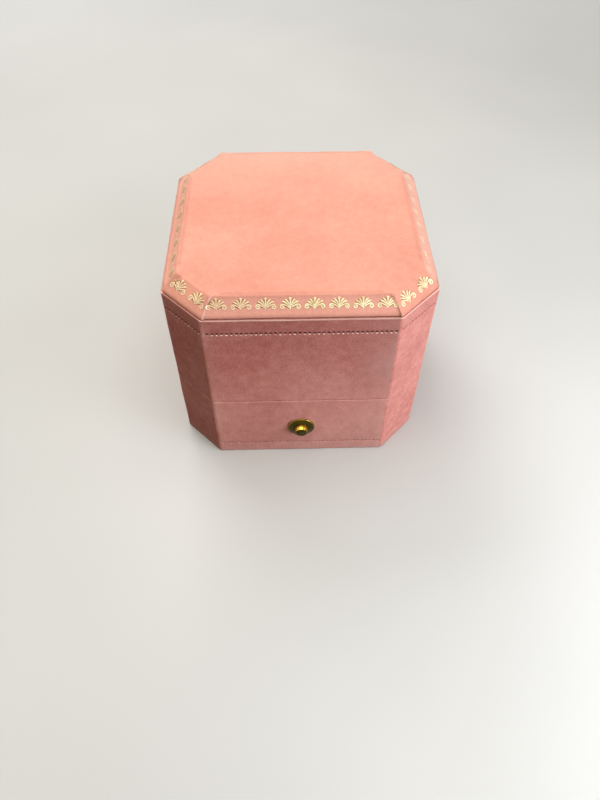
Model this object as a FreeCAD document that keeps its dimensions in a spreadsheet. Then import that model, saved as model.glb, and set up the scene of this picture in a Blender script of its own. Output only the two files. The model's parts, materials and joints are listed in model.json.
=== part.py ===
"""A push-button ring box: an octagonal suede-covered case with a tall hinged lid.

Millimetres. The origin is the centre of the underside, +Z is up and the button faces -Y.
"""

import FreeCAD
import Part
import Sketcher

import math
import os
import re

from FreeCAD import Placement, Rotation, Vector

# Driving dimensions: each one is written once and becomes a cell of the Sizes sheet.
SIZES = {
    # case
    "width": 60.0,
    "chamfer": 9.0,
    "base_height": 21.0,
    "lid_height": 27.3,
    "seam_gap": 0.2,
    "fit_gap": 0.05,
    "wrap": 0.8,
    "frame_wall": 2.2,
    "corner_round": 0.6,
    "rim_round": 0.3,
    "foot_round": 0.5,
    "floor_thickness": 2.0,
    "bottom_turn_in": 6.0,
    "top_turn_in": 4.5,
    # lid top and linings
    "lid_board": 2.0,
    "pad_inset": 0.7,
    "pad_rise": 3.9,
    "pad_foot": 0.4,
    "pad_border": 2.9,
    "pad_round": 0.8,
    "lining_wall": 1.2,
    "lining_clearance": 0.6,
    "satin_thickness": 4.0,
    "satin_gap": 0.3,
    "satin_round": 2.6,
    # collar and ring insert
    "collar_wall": 1.5,
    "collar_rise": 3.0,
    "collar_step": 0.65,
    "collar_round": 0.3,
    "riser_height": 8.0,
    "riser_width": 4.0,
    "riser_spacing": 34.0,
    "riser_length": 34.0,
    "insert_thickness": 1.5,
    "insert_gap": 0.3,
    "ring_slot": 1.5,
    "ring_slot_length": 24.0,
    "roll_height": 7.0,
    "roll_gap": 0.5,
    "roll_round": 5.0,
    # push button and its bushing
    "button_height": 10.5,
    "button_radius": 1.7,
    "button_proud": 0.5,
    "button_round": 0.5,
    "button_travel": 0.9,
    "running_gap": 0.05,
    "flange_radius": 3.35,
    "flange_edge": 0.35,
    "flange_height": 0.85,
    "lip_radius": 2.2,
    "tube_radius": 2.4,
    "washer_radius": 3.2,
    "washer_thickness": 0.5,
    "peen": 0.1,
    "button_collar": 0.6,
    "tip_radius": 1.2,
    "tip_length": 1.2,
    "tip_round": 1.0,
    "contact_gap": 0.1,
    # latch
    "latch_bay_width": 18.0,
    "latch_bay_depth": 6.9,
    "latch_height": 5.0,
    "lever_width": 5.0,
    "lever_thickness": 0.8,
    "lever_reach": 14.6,
    "eye_radius": 1.3,
    "eye_width": 5.8,
    "latch_pin_radius": 0.6,
    "nose_width": 3.5,
    "nose_height": 13.2,
    "nose_tip": 0.3,
    "nose_bite": 0.55,
    "bracket_width": 15.0,
    "bracket_height": 4.2,
    "bracket_thickness": 0.6,
    "ear_thickness": 0.8,
    "ear_gap": 0.2,
    "latch_spring_width": 4.0,
    "latch_spring_thickness": 0.3,
    "latch_spring_foot": 4.2,
    "latch_spring_lean": 2.15,
    "latch_spring_height": 6.7,
    # keeper on the lid
    "keeper_width": 8.0,
    "keeper_thickness": 0.7,
    "keeper_height": 11.0,
    "keeper_bar": 1.0,
    "keeper_play": 0.3,
    "window_width": 4.5,
    "window_height": 2.5,
    "groove_depth": 0.4,
    "groove_gap": 0.4,
    # hinge
    "hinge_width": 26.0,
    "hinge_standoff": 0.5,
    "barrel_radius": 1.4,
    "hinge_pin_radius": 0.7,
    "hinge_pin_extra": 0.3,
    "leaf_thickness": 0.4,
    "leaf_length": 10.5,
    "outer_knuckle": 5.0,
    "inner_knuckle": 3.6,
    "knuckle_gap": 0.2,
    "barrel_clearance": 0.2,
    "spring_wire": 0.45,
    "spring_radius": 1.1,
    "spring_pitch": 1.0,
    "spring_leg": 2.4,
    "spring_pocket": 2.4,
    # fasteners
    "shank_radius": 0.6,
    "shank_length": 1.6,
    "head_radius": 1.1,
    "head_height": 0.3,
    "rivet_spacing": 9.0,
    "rivet_drop": 5.5,
    "bracket_screw_spacing": 11.8,
    "keeper_screw_spacing": 4.0,
    "keeper_screw_height": 4.8,
}

# Sizes and places worked out from the driving dimensions. Insets are measured in from the outer faces.
NAMED = {
    "half": "width / 2",
    "corner_slope": "tan(22.5 deg)",
    "frame_out": "wrap + fit_gap",
    "frame_in": "frame_out + frame_wall",
    "inner_fit": "frame_in + fit_gap",
    "floor_top": "wrap + floor_thickness",
    "lid_bottom": "base_height + seam_gap",
    "lid_top": "lid_bottom + lid_height",
    "board_bottom": "lid_top - wrap - lid_board",
    "collar_in": "inner_fit + collar_wall",
    "neck_out": "inner_fit + collar_step",
    "collar_top": "base_height + collar_rise",
    "lining_in": "inner_fit + lining_wall",
    "insert_bottom": "floor_top + riser_height",
    "insert_top": "insert_bottom + insert_thickness",
    "roll_inset": "collar_in + roll_gap",
    "roll_reach": "half - frame_in - latch_bay_depth",
    "roll_flat": "half - chamfer - roll_inset * corner_slope",
    "roll_side": "half - roll_inset - max(0; roll_reach - roll_flat)",
    # Depths below count inwards from the outer front face.
    "washer_end": "frame_in + washer_thickness",
    "tube_end": "washer_end + peen",
    "stop_front": "tube_end + contact_gap",
    "stop_back": "stop_front + button_collar",
    "tip_end": "stop_back + tip_length",
    "lever_front": "tip_end + contact_gap",
    "lever_back": "lever_front + lever_thickness",
    "pivot_depth": "(lever_front + lever_back) / 2",
    "bore_radius": "button_radius + running_gap",
    "keeper_back": "inner_fit + keeper_thickness",
    "nose_depth": "keeper_back - nose_bite",
    "nose_bottom": "latch_height + nose_height",
    "window_bottom": "nose_bottom - keeper_play",
    "keeper_bottom": "window_bottom - keeper_bar",
    "ear_inner": "eye_width / 2 + ear_gap",
    "spring_bend": "lever_back + contact_gap + latch_spring_lean",
    "hinge_y": "half + hinge_standoff",
    "hinge_z": "base_height + seam_gap / 2",
    "leaf_front": "half - inner_fit - leaf_thickness",
    "leaf_back": "half - inner_fit",
    "notch_radius": "barrel_radius + barrel_clearance",
    "notch_half": "hinge_width / 2 + barrel_clearance",
    "pocket_half": "hinge_width / 2 - outer_knuckle - inner_knuckle - knuckle_gap",
    "hole_radius": "shank_radius + fit_gap",
}

PARTS = []

doc = FreeCAD.newDocument("ring_box")
sheet = doc.addObject("Spreadsheet::Sheet", "Sizes")
for row, (alias, number) in enumerate(SIZES.items(), start=1):
    sheet.set(f"A{row}", alias.replace("_", " "))
    sheet.set(f"B{row}", str(number))
    sheet.setAlias(f"B{row}", alias)
doc.recompute()


def expression(text):
    """Spells out the names in a formula as cells of the Sizes sheet."""

    def spell_out(match):
        word = match.group(0)
        if word in SIZES:
            return "Sizes." + word
        if word in NAMED:
            return "(" + expression(NAMED[word]) + ")"
        return word

    return re.sub(r"[a-z_]+", spell_out, str(text))


def value(text):
    """The number that a formula of plain names comes to."""
    return float(sheet.evalExpression(expression(text)))


# Sketches and features


def new_body(label):
    body = doc.addObject("PartDesign::Body", label)
    body.Label = label
    PARTS.append(body)
    return body


def pin_point(sketch, line, corner, x, y):
    """Ties one corner of a line to two formulas, measured from the sketch's origin."""
    for kind, formula, axis in (("DistanceX", x, -2), ("DistanceY", y, -1)):
        if formula == "0":
            sketch.addConstraint(Sketcher.Constraint("PointOnObject", line, corner, axis))
            continue
        distance = Sketcher.Constraint(kind, -1, 1, line, corner, value(formula))
        number = sketch.addConstraint(distance)
        sketch.setExpression(f"Constraints[{number}]", expression(formula))


def new_sketch(body, plane, offset, loops=(), circles=()):
    """A sketch on one of the body's origin planes, moved along its normal by offset.

    Loops are lists of (x, y) formulas and circles are (x, y, radius) formulas.
    """
    sketch = body.newObject("Sketcher::SketchObject", body.Label + "_sketch")
    support = next(f for f in body.Origin.OriginFeatures if f.Role == plane)
    sketch.AttachmentSupport = [(support, "")]
    sketch.MapMode = "FlatFace"
    sketch.setExpression("AttachmentOffset.Base.z", expression(offset))
    for loop in loops:
        first = sketch.GeometryCount
        count = len(loop)
        corners = [Vector(value(x), value(y), 0) for x, y in loop]
        for start, end in zip(corners, corners[1:] + corners[:1]):
            sketch.addGeometry(Part.LineSegment(start, end))
        for i in range(count):
            join = (first + i, 2, first + (i + 1) % count, 1)
            sketch.addConstraint(Sketcher.Constraint("Coincident", *join))
        for i, (x, y) in enumerate(loop):
            pin_point(sketch, first + i, 1, x, y)
    for x, y, radius in circles:
        centre = Vector(value(x), value(y), 0)
        ring = sketch.addGeometry(Part.Circle(centre, Vector(0, 0, 1), value(radius)))
        pin_point(sketch, ring, 3, x, y)
        number = sketch.addConstraint(Sketcher.Constraint("Radius", ring, value(radius)))
        sketch.setExpression(f"Constraints[{number}]", expression(radius))
    return sketch


def extrude(kind, body, sketch, length, backwards=False, midplane=False):
    feature = body.newObject("PartDesign::" + kind, body.Label + "_" + kind.lower())
    feature.Profile = sketch
    feature.Reversed = backwards
    feature.Midplane = midplane
    feature.setExpression("Length", expression(length))
    doc.recompute()
    return feature


def pad(body, sketch, length, **options):
    return extrude("Pad", body, sketch, length, **options)


def pocket(body, sketch, length, **options):
    """A pocket, which has to take some material away."""
    before = body.Shape.Volume
    feature = extrude("Pocket", body, sketch, length, **options)
    if feature.Shape.Volume >= before:
        raise RuntimeError(f"a pocket of {body.Label} cuts nothing")
    return feature


def fillet(body, radius, choose):
    """Rounds every edge of the body's last feature that choose picks."""
    base = body.Tip
    names = [f"Edge{i}" for i, edge in enumerate(base.Shape.Edges, start=1) if choose(edge)]
    feature = body.newObject("PartDesign::Fillet", body.Label + "_fillet")
    feature.Base = (base, names)
    feature.setExpression("Radius", expression(radius))
    doc.recompute()
    return feature


def revolve(body, outline):
    """Turns an outline of (radius, height) formulas about the body's Z axis."""
    sketch = new_sketch(body, "XZ_Plane", "0", [outline])
    feature = body.newObject("PartDesign::Revolution", body.Label + "_turned")
    feature.Profile = sketch
    feature.ReferenceAxis = (sketch, ["V_Axis"])
    feature.Angle = 360
    doc.recompute()
    return feature


def loft(body, low, high):
    """Joins two sketches with flat sloping sides."""
    feature = body.newObject("PartDesign::AdditiveLoft", body.Label + "_loft")
    feature.Profile = low
    feature.Sections = [high]
    feature.Ruled = True
    doc.recompute()
    return feature


def octagon(inset):
    """The case's octagon, moved in by inset all round."""
    side = f"half - ({inset})"
    flat = f"half - chamfer - ({inset}) * corner_slope"
    near = [(f"-({flat})", f"-({side})"), (flat, f"-({side})")]
    right = [(side, f"-({flat})"), (side, flat)]
    far = [(flat, side), (f"-({flat})", side)]
    left = [(f"-({side})", flat), (f"-({side})", f"-({flat})")]
    return near + right + far + left


def rectangle(x0, x1, y0, y1):
    return [(x0, y0), (x1, y0), (x1, y1), (x0, y1)]


def cut_box(body, half_width, y0, y1, z0, z1):
    """Cuts a box that is centred on the YZ plane out of a body."""
    outline = rectangle(f"-({half_width})", half_width, y0, y1)
    sketch = new_sketch(body, "XY_Plane", z0, [outline])
    return pocket(body, sketch, f"({z1}) - ({z0})", backwards=True)


def drill(body, y, depth, holes, inwards=1):
    """Drills round holes along Y from the plane at y, towards +Y where inwards is 1."""
    sketch = new_sketch(body, "XZ_Plane", f"-({y})", circles=holes)
    return pocket(body, sketch, depth, backwards=inwards < 0)


def is_vertical(edge):
    return abs(edge.tangentAt(edge.FirstParameter).z) > 0.99 and edge.Length > 0.01


def lies_at(height):
    """Picks the edges that lie flat at a height."""
    level = value(height)
    return lambda edge: all(abs(v.Point.z - level) < 1e-4 for v in edge.Vertexes)


# Plain solids made of primitives


def cylinder(name, radius, length, x, y, z, turn=None):
    """A cylinder that starts at (x, y, z) and runs along +Z, or where turn takes +Z."""
    solid = doc.addObject("Part::Cylinder", name)
    solid.setExpression("Radius", expression(radius))
    solid.setExpression("Height", expression(length))
    return place(solid, x, y, z, turn)


def place(solid, x, y, z, turn=None):
    solid.Placement = Placement(Vector(0, 0, 0), turn or Rotation())
    for axis, formula in zip("xyz", (x, y, z)):
        solid.setExpression(f"Placement.Base.{axis}", expression(formula))
    return solid


ALONG_X = Rotation(Vector(0, 1, 0), 90)
TO_FRONT = Rotation(Vector(1, 0, 0), 90)
TO_BACK = Rotation(Vector(1, 0, 0), -90)
DOWN = Rotation(Vector(1, 0, 0), 180)


def fastener(name, seat, turn):
    """A round-headed pin whose head sits on a seat and whose shank runs along turn's +Z."""
    x, y, z = seat
    back = turn.multVec(Vector(0, 0, -1))
    head_at = [f"{c} + ({step}) * head_height" for c, step in zip(seat, map(round, back))]
    head = cylinder(name + "_head", "head_radius", "head_height", *head_at, turn)
    shank = cylinder(name + "_shank", "shank_radius", "shank_length", x, y, z, turn)
    pin = doc.addObject("Part::Fuse", name)
    pin.Base = shank
    pin.Tool = head
    return pin


def fasteners(label, seats, turn):
    """A node of identical pins, one for each seat."""
    group = doc.addObject("Part::Compound", label)
    group.Label = label
    group.Links = [fastener(f"{label}_{i}", seat, turn) for i, seat in enumerate(seats, start=1)]
    PARTS.append(group)
    return group


def seats_in_row(spacing, count, y, z):
    """Seats side by side along X, centred on the box."""
    return [(f"{spacing} * {i - (count - 1) / 2}", y, z) for i in range(count)]


RIVET_COUNT = 3
SCREW_COUNT = 2
lower_rivets = seats_in_row("rivet_spacing", RIVET_COUNT, "leaf_front", "base_height - rivet_drop")
upper_rivets = seats_in_row("rivet_spacing", RIVET_COUNT, "leaf_front", "lid_bottom + rivet_drop")
bracket_plate = "inner_fit + bracket_thickness"
bracket_seats = seats_in_row(
    "bracket_screw_spacing", SCREW_COUNT, f"-(half - ({bracket_plate}))", "latch_height"
)
keeper_seats = [
    ("0", "-(half - keeper_back)", f"lid_bottom + keeper_screw_height + keeper_screw_spacing * {i}")
    for i in range(SCREW_COUNT)
]


def holes_for(seats):
    return [(x, z, "hole_radius") for x, _, z in seats]


# Walls of the base and the lid


def rear_cuts(body, bottom, top):
    """Room at the back of a wall for the hinge barrel, and for its spring and the spring's legs."""
    beyond = "hinge_y + notch_radius"
    cut_box(body, "notch_half", "hinge_y - notch_radius", beyond, bottom, top)
    cut_box(body, "pocket_half", "half - spring_pocket", beyond, bottom, top)


def wrap_ring(label, bottom, top, bottom_inset, top_inset, bottom_round, top_round):
    """A suede strip round the walls, turned in over their bottom and top edges."""
    body = new_body(label)
    height = f"({top}) - ({bottom})"
    pad(body, new_sketch(body, "XY_Plane", bottom, [octagon("0")]), height)
    fillet(body, "corner_round", is_vertical)
    fillet(body, bottom_round, lies_at(bottom))
    fillet(body, top_round, lies_at(top))
    inside = new_sketch(body, "XY_Plane", f"({bottom}) + wrap", [octagon("wrap")])
    pocket(body, inside, f"{height} - 2 * wrap", backwards=True)
    below = new_sketch(body, "XY_Plane", bottom, [octagon(bottom_inset)])
    pocket(body, below, "wrap", backwards=True)
    above = new_sketch(body, "XY_Plane", top, [octagon(top_inset)])
    pocket(body, above, "wrap")
    return body


def wall_ring(label, bottom, top, outer, inner):
    body = new_body(label)
    sketch = new_sketch(body, "XY_Plane", bottom, [octagon(outer), octagon(inner)])
    pad(body, sketch, f"({top}) - ({bottom})")
    return body


def slab(label, bottom, top, inset):
    body = new_body(label)
    pad(body, new_sketch(body, "XY_Plane", bottom, [octagon(inset)]), f"({top}) - ({bottom})")
    return body


button_hole = [("0", "button_height", "tube_radius + fit_gap")]
wall_front = "-(half - frame_in)"
groove_half = "keeper_width / 2 + groove_gap"
groove_front = "-(half - frame_in + groove_depth)"
groove_bottom = "keeper_bottom - groove_gap - keeper_bar"
barrel_bottom = "hinge_z - notch_radius"
barrel_top = "hinge_z + notch_radius"
leaf_slot = "leaf_thickness + fit_gap"


def make_base_wrap():
    body = wrap_ring(
        "base_wrap", "0", "base_height", "bottom_turn_in", "frame_in", "foot_round", "rim_round"
    )
    rear_cuts(body, barrel_bottom, "base_height")
    slot_bottom = f"base_height - ({leaf_slot})"
    cut_box(body, "notch_half", "leaf_front", "hinge_y", slot_bottom, "base_height")
    cut_box(body, groove_half, groove_front, "0", groove_bottom, "base_height")
    drill(body, "-half", "frame_in", button_hole)


def make_base_frame():
    body = wall_ring("base_frame", "wrap", "base_height - wrap", "frame_out", "frame_in")
    rear_cuts(body, barrel_bottom, "base_height")
    cut_box(body, groove_half, groove_front, "0", groove_bottom, "base_height")
    drill(body, "-half", "half", button_hole)
    drill(body, wall_front, "shank_length", holes_for(bracket_seats), inwards=-1)
    drill(body, "half - frame_in", "shank_length", holes_for(lower_rivets))


def make_lid_wrap():
    body = wrap_ring(
        "lid_wrap", "lid_bottom", "lid_top", "frame_in", "top_turn_in", "rim_round", "rim_round"
    )
    rear_cuts(body, "lid_bottom", barrel_top)
    slot_top = f"lid_bottom + {leaf_slot}"
    cut_box(body, "notch_half", "leaf_front", "hinge_y", "lid_bottom", slot_top)


def make_lid_frame():
    body = wall_ring("lid_frame", "lid_bottom + wrap", "board_bottom", "frame_out", "frame_in")
    rear_cuts(body, "lid_bottom", barrel_top)
    drill(body, wall_front, "shank_length", holes_for(keeper_seats), inwards=-1)
    drill(body, "half - frame_in", "shank_length", holes_for(upper_rivets))


# Base floor, collar and ring insert

spring_screw_depth = "spring_bend + latch_spring_foot / 2"
spring_screw_seat = ("0", f"-(half - ({spring_screw_depth}))", "floor_top + latch_spring_thickness")


def make_base_floor():
    body = slab("base_floor", "wrap", "floor_top", "inner_fit")
    x, y, _ = spring_screw_seat
    hole = new_sketch(body, "XY_Plane", "floor_top", circles=[(x, y, "hole_radius")])
    pocket(body, hole, "shank_length")


def make_base_underlay():
    slab("base_underlay", "0", "wrap", "bottom_turn_in + fit_gap")


def make_base_collar():
    """The lined inner wall, which rises past the rim as a neck and stops short of the latch."""
    shoulder = "base_height - fit_gap"
    body = wall_ring("base_collar", "floor_top", shoulder, "inner_fit", "collar_in")
    neck = new_sketch(body, "XY_Plane", shoulder, [octagon("neck_out"), octagon("collar_in")])
    pad(body, neck, f"collar_top - ({shoulder})")
    fillet(body, "collar_round", lies_at("collar_top"))
    cut_box(body, "latch_bay_width / 2", "-half", "0", "floor_top", "collar_top")
    leaf_room = "leaf_front - head_height - contact_gap"
    leaf_bottom = "base_height - leaf_length - contact_gap"
    cut_box(body, "notch_half", leaf_room, "half", leaf_bottom, shoulder)


def make_insert_risers():
    """Two rails that carry the insert board over the floor."""
    rails = []
    for side in (-1, 1):
        rail = doc.addObject("Part::Box", "riser")
        rail.setExpression("Length", expression("riser_width"))
        rail.setExpression("Width", expression("riser_length"))
        rail.setExpression("Height", expression("riser_height"))
        x = f"{side} * riser_spacing / 2 - riser_width / 2"
        rails.append(place(rail, x, "-riser_length / 2", "floor_top"))
    group = doc.addObject("Part::Compound", "insert_risers")
    group.Label = "insert_risers"
    group.Links = rails
    PARTS.append(group)


def make_insert_board():
    body = slab("insert_board", "insert_bottom", "insert_top", "collar_in + insert_gap")
    bay = "-(roll_reach + insert_gap)"
    cut_box(body, "latch_bay_width / 2", "-half", bay, "insert_bottom", "insert_top")
    slot = "ring_slot / 2"
    cut_box(body, "ring_slot_length / 2", f"-{slot}", slot, "insert_bottom", "insert_top")


def make_ring_roll(label, side):
    """A padded roll on one side of the ring slot; side is -1 for the front."""
    body = new_body(label)
    near, far = f"{side} * ring_slot / 2", f"{side} * roll_reach"
    outline = rectangle("-roll_side", "roll_side", near, far)
    pad(body, new_sketch(body, "XY_Plane", "insert_top", [outline]), "roll_height")
    fillet(body, "roll_round", lies_at("insert_top + roll_height"))


# Lid top and linings


def make_lid_top_board():
    slab("lid_top_board", "board_bottom", "lid_top - wrap", "frame_out")


def make_lid_top_pad():
    """The padded top with its sloping border, keyed into the opening in the wrap below it."""
    crest = "lid_top + pad_rise"
    body = slab("lid_top_pad", "lid_top", "lid_top + pad_foot", "pad_inset")
    border_low = new_sketch(body, "XY_Plane", "lid_top + pad_foot", [octagon("pad_inset")])
    border_high = new_sketch(body, "XY_Plane", crest, [octagon("pad_inset + pad_border")])
    loft(body, border_low, border_high)
    fillet(body, "pad_round", lies_at(crest))
    key = new_sketch(body, "XY_Plane", "lid_top - wrap", [octagon("top_turn_in + fit_gap")])
    pad(body, key, "wrap")


def make_lid_side_lining():
    bottom = "collar_top + lining_clearance"
    body = wall_ring("lid_side_lining", bottom, "board_bottom", "inner_fit", "lining_in")
    leaf_room = "leaf_front - head_height - contact_gap"
    leaf_top = "lid_bottom + leaf_length + contact_gap"
    cut_box(body, "notch_half", leaf_room, "half", bottom, leaf_top)
    keeper_top = "lid_bottom + keeper_height + contact_gap"
    cut_box(body, groove_half, "-half", "0", bottom, keeper_top)


def make_lid_satin_pad():
    lowest = "board_bottom - satin_thickness"
    body = slab("lid_satin_pad", lowest, "board_bottom", "lining_in + satin_gap")
    fillet(body, "satin_round", lies_at(lowest))


# Push button: these bodies are turned about Z, then laid down so that +Z points out of the front wall


def stand_in_front_wall(body):
    place(body, "0", "-half", "button_height", TO_FRONT)


def make_button_bushing():
    body = new_body("button_bushing")
    outline = [
        ("bore_radius", "-(tube_end)"),
        ("tube_radius", "-(tube_end)"),
        ("tube_radius", "0"),
        ("flange_radius", "0"),
        ("flange_radius", "flange_edge"),
        ("lip_radius", "flange_height"),
        ("bore_radius", "flange_height"),
    ]
    revolve(body, outline)
    stand_in_front_wall(body)


def make_bushing_washer():
    body = new_body("bushing_washer")
    outline = rectangle("tube_radius + fit_gap", "washer_radius", "-(washer_end)", "-(frame_in)")
    revolve(body, outline)
    stand_in_front_wall(body)


def make_push_button():
    body = new_body("push_button")
    head = "flange_height + button_travel + button_proud"
    outline = [
        ("0", "-(tip_end)"),
        ("tip_radius", "-(tip_end)"),
        ("tip_radius", "-(stop_back)"),
        ("tube_radius", "-(stop_back)"),
        ("tube_radius", "-(stop_front)"),
        ("button_radius", "-(stop_front)"),
        ("button_radius", head),
        ("0", head),
    ]
    revolve(body, outline)
    fillet(body, "tip_round", lies_at("-(tip_end)"))
    fillet(body, "button_round", lies_at(head))
    stand_in_front_wall(body)


# Latch: a lever on a pin behind the button, pushed forward by a leaf spring


def depth(text):
    """The Y of a depth that counts inwards from the outer front face."""
    return f"-(half - ({text}))"


def make_latch_bracket():
    body = new_body("latch_bracket")
    plate = rectangle(
        "-bracket_width / 2", "bracket_width / 2", depth("inner_fit"), depth(bracket_plate)
    )
    pad(body, new_sketch(body, "XY_Plane", "floor_top", [plate]), "bracket_height")
    ear_end = depth("pivot_depth + eye_radius")
    for side in (-1, 1):
        inner = f"{side} * ear_inner"
        outer = f"{side} * (ear_inner + ear_thickness)"
        ear = rectangle(inner, outer, depth("inner_fit"), ear_end)
        pad(body, new_sketch(body, "XY_Plane", "floor_top", [ear]), "bracket_height")
    bore = [(depth("pivot_depth"), "latch_height", "latch_pin_radius + fit_gap / 2")]
    pocket(body, new_sketch(body, "YZ_Plane", "0", circles=bore), "bracket_width", midplane=True)
    drill(body, depth(bracket_plate), "bracket_thickness", holes_for(bracket_seats), inwards=-1)


def make_latch_pin():
    length = "2 * (ear_inner + ear_thickness)"
    start = f"-({length}) / 2"
    pin = cylinder(
        "latch_pin", "latch_pin_radius", length, start, depth("pivot_depth"), "latch_height", ALONG_X
    )
    PARTS.append(pin)


def make_latch_lever():
    body = new_body("latch_lever")
    top = "latch_height + lever_reach"
    arm = rectangle(depth("lever_front"), depth("lever_back"), "latch_height", top)
    pad(body, new_sketch(body, "YZ_Plane", "0", [arm]), "lever_width", midplane=True)
    centre = (depth("pivot_depth"), "latch_height")
    eye = new_sketch(body, "YZ_Plane", "0", circles=[(*centre, "eye_radius")])
    pad(body, eye, "eye_width", midplane=True)
    nose = [
        (depth("nose_depth"), "nose_bottom"),
        (depth("lever_back"), "nose_bottom"),
        (depth("lever_back"), top),
        (depth("lever_front"), top),
        (depth("nose_depth"), "nose_bottom + nose_tip"),
    ]
    pad(body, new_sketch(body, "YZ_Plane", "0", [nose]), "nose_width", midplane=True)
    bore = [(*centre, "latch_pin_radius + running_gap")]
    pocket(body, new_sketch(body, "YZ_Plane", "0", circles=bore), "eye_width", midplane=True)


def make_latch_spring():
    """A bent steel strip: a foot on the floor and an arm that leans on the back of the lever."""
    body = new_body("latch_spring")
    foot_end = depth("spring_bend + latch_spring_foot")
    tip_height = "floor_top + latch_spring_height"
    tip_depth = "lever_back + contact_gap"
    outline = [
        (foot_end, "floor_top"),
        (depth("spring_bend"), "floor_top"),
        (depth(tip_depth), tip_height),
        (depth(f"{tip_depth} + latch_spring_thickness"), tip_height),
        (depth("spring_bend + latch_spring_thickness"), "floor_top + latch_spring_thickness"),
        (foot_end, "floor_top + latch_spring_thickness"),
    ]
    strip = new_sketch(body, "YZ_Plane", "0", [outline])
    pad(body, strip, "latch_spring_width", midplane=True)
    x, y, z = spring_screw_seat
    hole = new_sketch(body, "XY_Plane", z, circles=[(x, y, "hole_radius")])
    pocket(body, hole, "latch_spring_thickness")


def make_lid_keeper():
    """A plate inside the lid's front wall that hangs into the base and is caught by the nose."""
    body = new_body("lid_keeper")
    plate = rectangle(
        "-keeper_width / 2", "keeper_width / 2", "keeper_bottom", "lid_bottom + keeper_height"
    )
    sketch = new_sketch(body, "XZ_Plane", "half - keeper_back", [plate])
    pad(body, sketch, "keeper_thickness")
    window = rectangle(
        "-window_width / 2", "window_width / 2", "window_bottom", "window_bottom + window_height"
    )
    opening = new_sketch(body, "XZ_Plane", "half - inner_fit", [window])
    pocket(body, opening, "keeper_thickness")
    drill(body, depth("keeper_back"), "keeper_thickness", holes_for(keeper_seats), inwards=-1)


# Hinge: two cranked leaves on one pin, with a coil spring between the middle knuckles

OUTER_START = "hinge_width / 2 - outer_knuckle"
INNER_START = "hinge_width / 2 - outer_knuckle - knuckle_gap - inner_knuckle"


def make_hinge_leaf(label, side, start, length, bore, rivets):
    """One leaf; side is -1 for the base's leaf, which hangs down, and 1 for the lid's."""
    body = new_body(label)

    def away(distance):
        return f"hinge_z + {side} * (seam_gap / 2 + {distance})"

    face, back = away("0"), away("leaf_thickness")
    short = "hinge_y - notch_radius"
    bent = [
        ("leaf_front", face),
        (short, face),
        (short, back),
        ("leaf_back", back),
        ("leaf_back", away("leaf_length")),
        ("leaf_front", away("leaf_length")),
    ]
    pad(body, new_sketch(body, "YZ_Plane", "0", [bent]), "hinge_width", midplane=True)
    mid_wall = "hinge_y - (barrel_radius + hinge_pin_radius) / 2"
    tongue = rectangle("leaf_back", mid_wall, face, back)
    barrel = [("hinge_y", "hinge_z", "barrel_radius")]
    for mirror in (-1, 1):
        x = start if mirror > 0 else f"-({start}) - {length}"
        pad(body, new_sketch(body, "YZ_Plane", x, [tongue]), length)
        pad(body, new_sketch(body, "YZ_Plane", x, circles=barrel), length)
    hole = new_sketch(body, "YZ_Plane", "0", circles=[("hinge_y", "hinge_z", bore)])
    pocket(body, hole, "hinge_width", midplane=True)
    drill(body, "leaf_front", "leaf_thickness", holes_for(rivets))


def make_hinge_pin():
    length = "hinge_width + 2 * hinge_pin_extra"
    start = f"-({length}) / 2"
    pin = cylinder(
        "hinge_pin", "hinge_pin_radius", length, start, "hinge_y", "hinge_z", ALONG_X
    )
    PARTS.append(pin)


def arc_from(start, tangent, end):
    """The arc that leaves start along tangent and ends at end."""
    chord = end - start
    along = Vector(chord).normalize()
    side = tangent - along * tangent.dot(along)
    half_angle = side.Length / (1 + tangent.dot(along))
    middle = start + chord * 0.5 + Vector(side).normalize() * (chord.Length * 0.5 * half_angle)
    return Part.Arc(start, middle, end).toShape()


def biarc(start, start_tangent, end, end_tangent):
    """Two arcs that join two points with the given unit tangents."""
    chord = end - start
    sum_of_tangents = start_tangent + end_tangent
    a = 2 * (1 - start_tangent.dot(end_tangent))
    b = 2 * chord.dot(sum_of_tangents)
    reach = (-b + math.sqrt(b * b + 4 * a * chord.dot(chord))) / (2 * a)
    joint = (start + end + (start_tangent - end_tangent) * reach) * 0.5
    second = arc_from(end, end_tangent * -1, joint)
    return [arc_from(start, start_tangent, joint), second]


QUARTERS_PER_TURN = 4
GAP_SAMPLES = 1200


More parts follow.
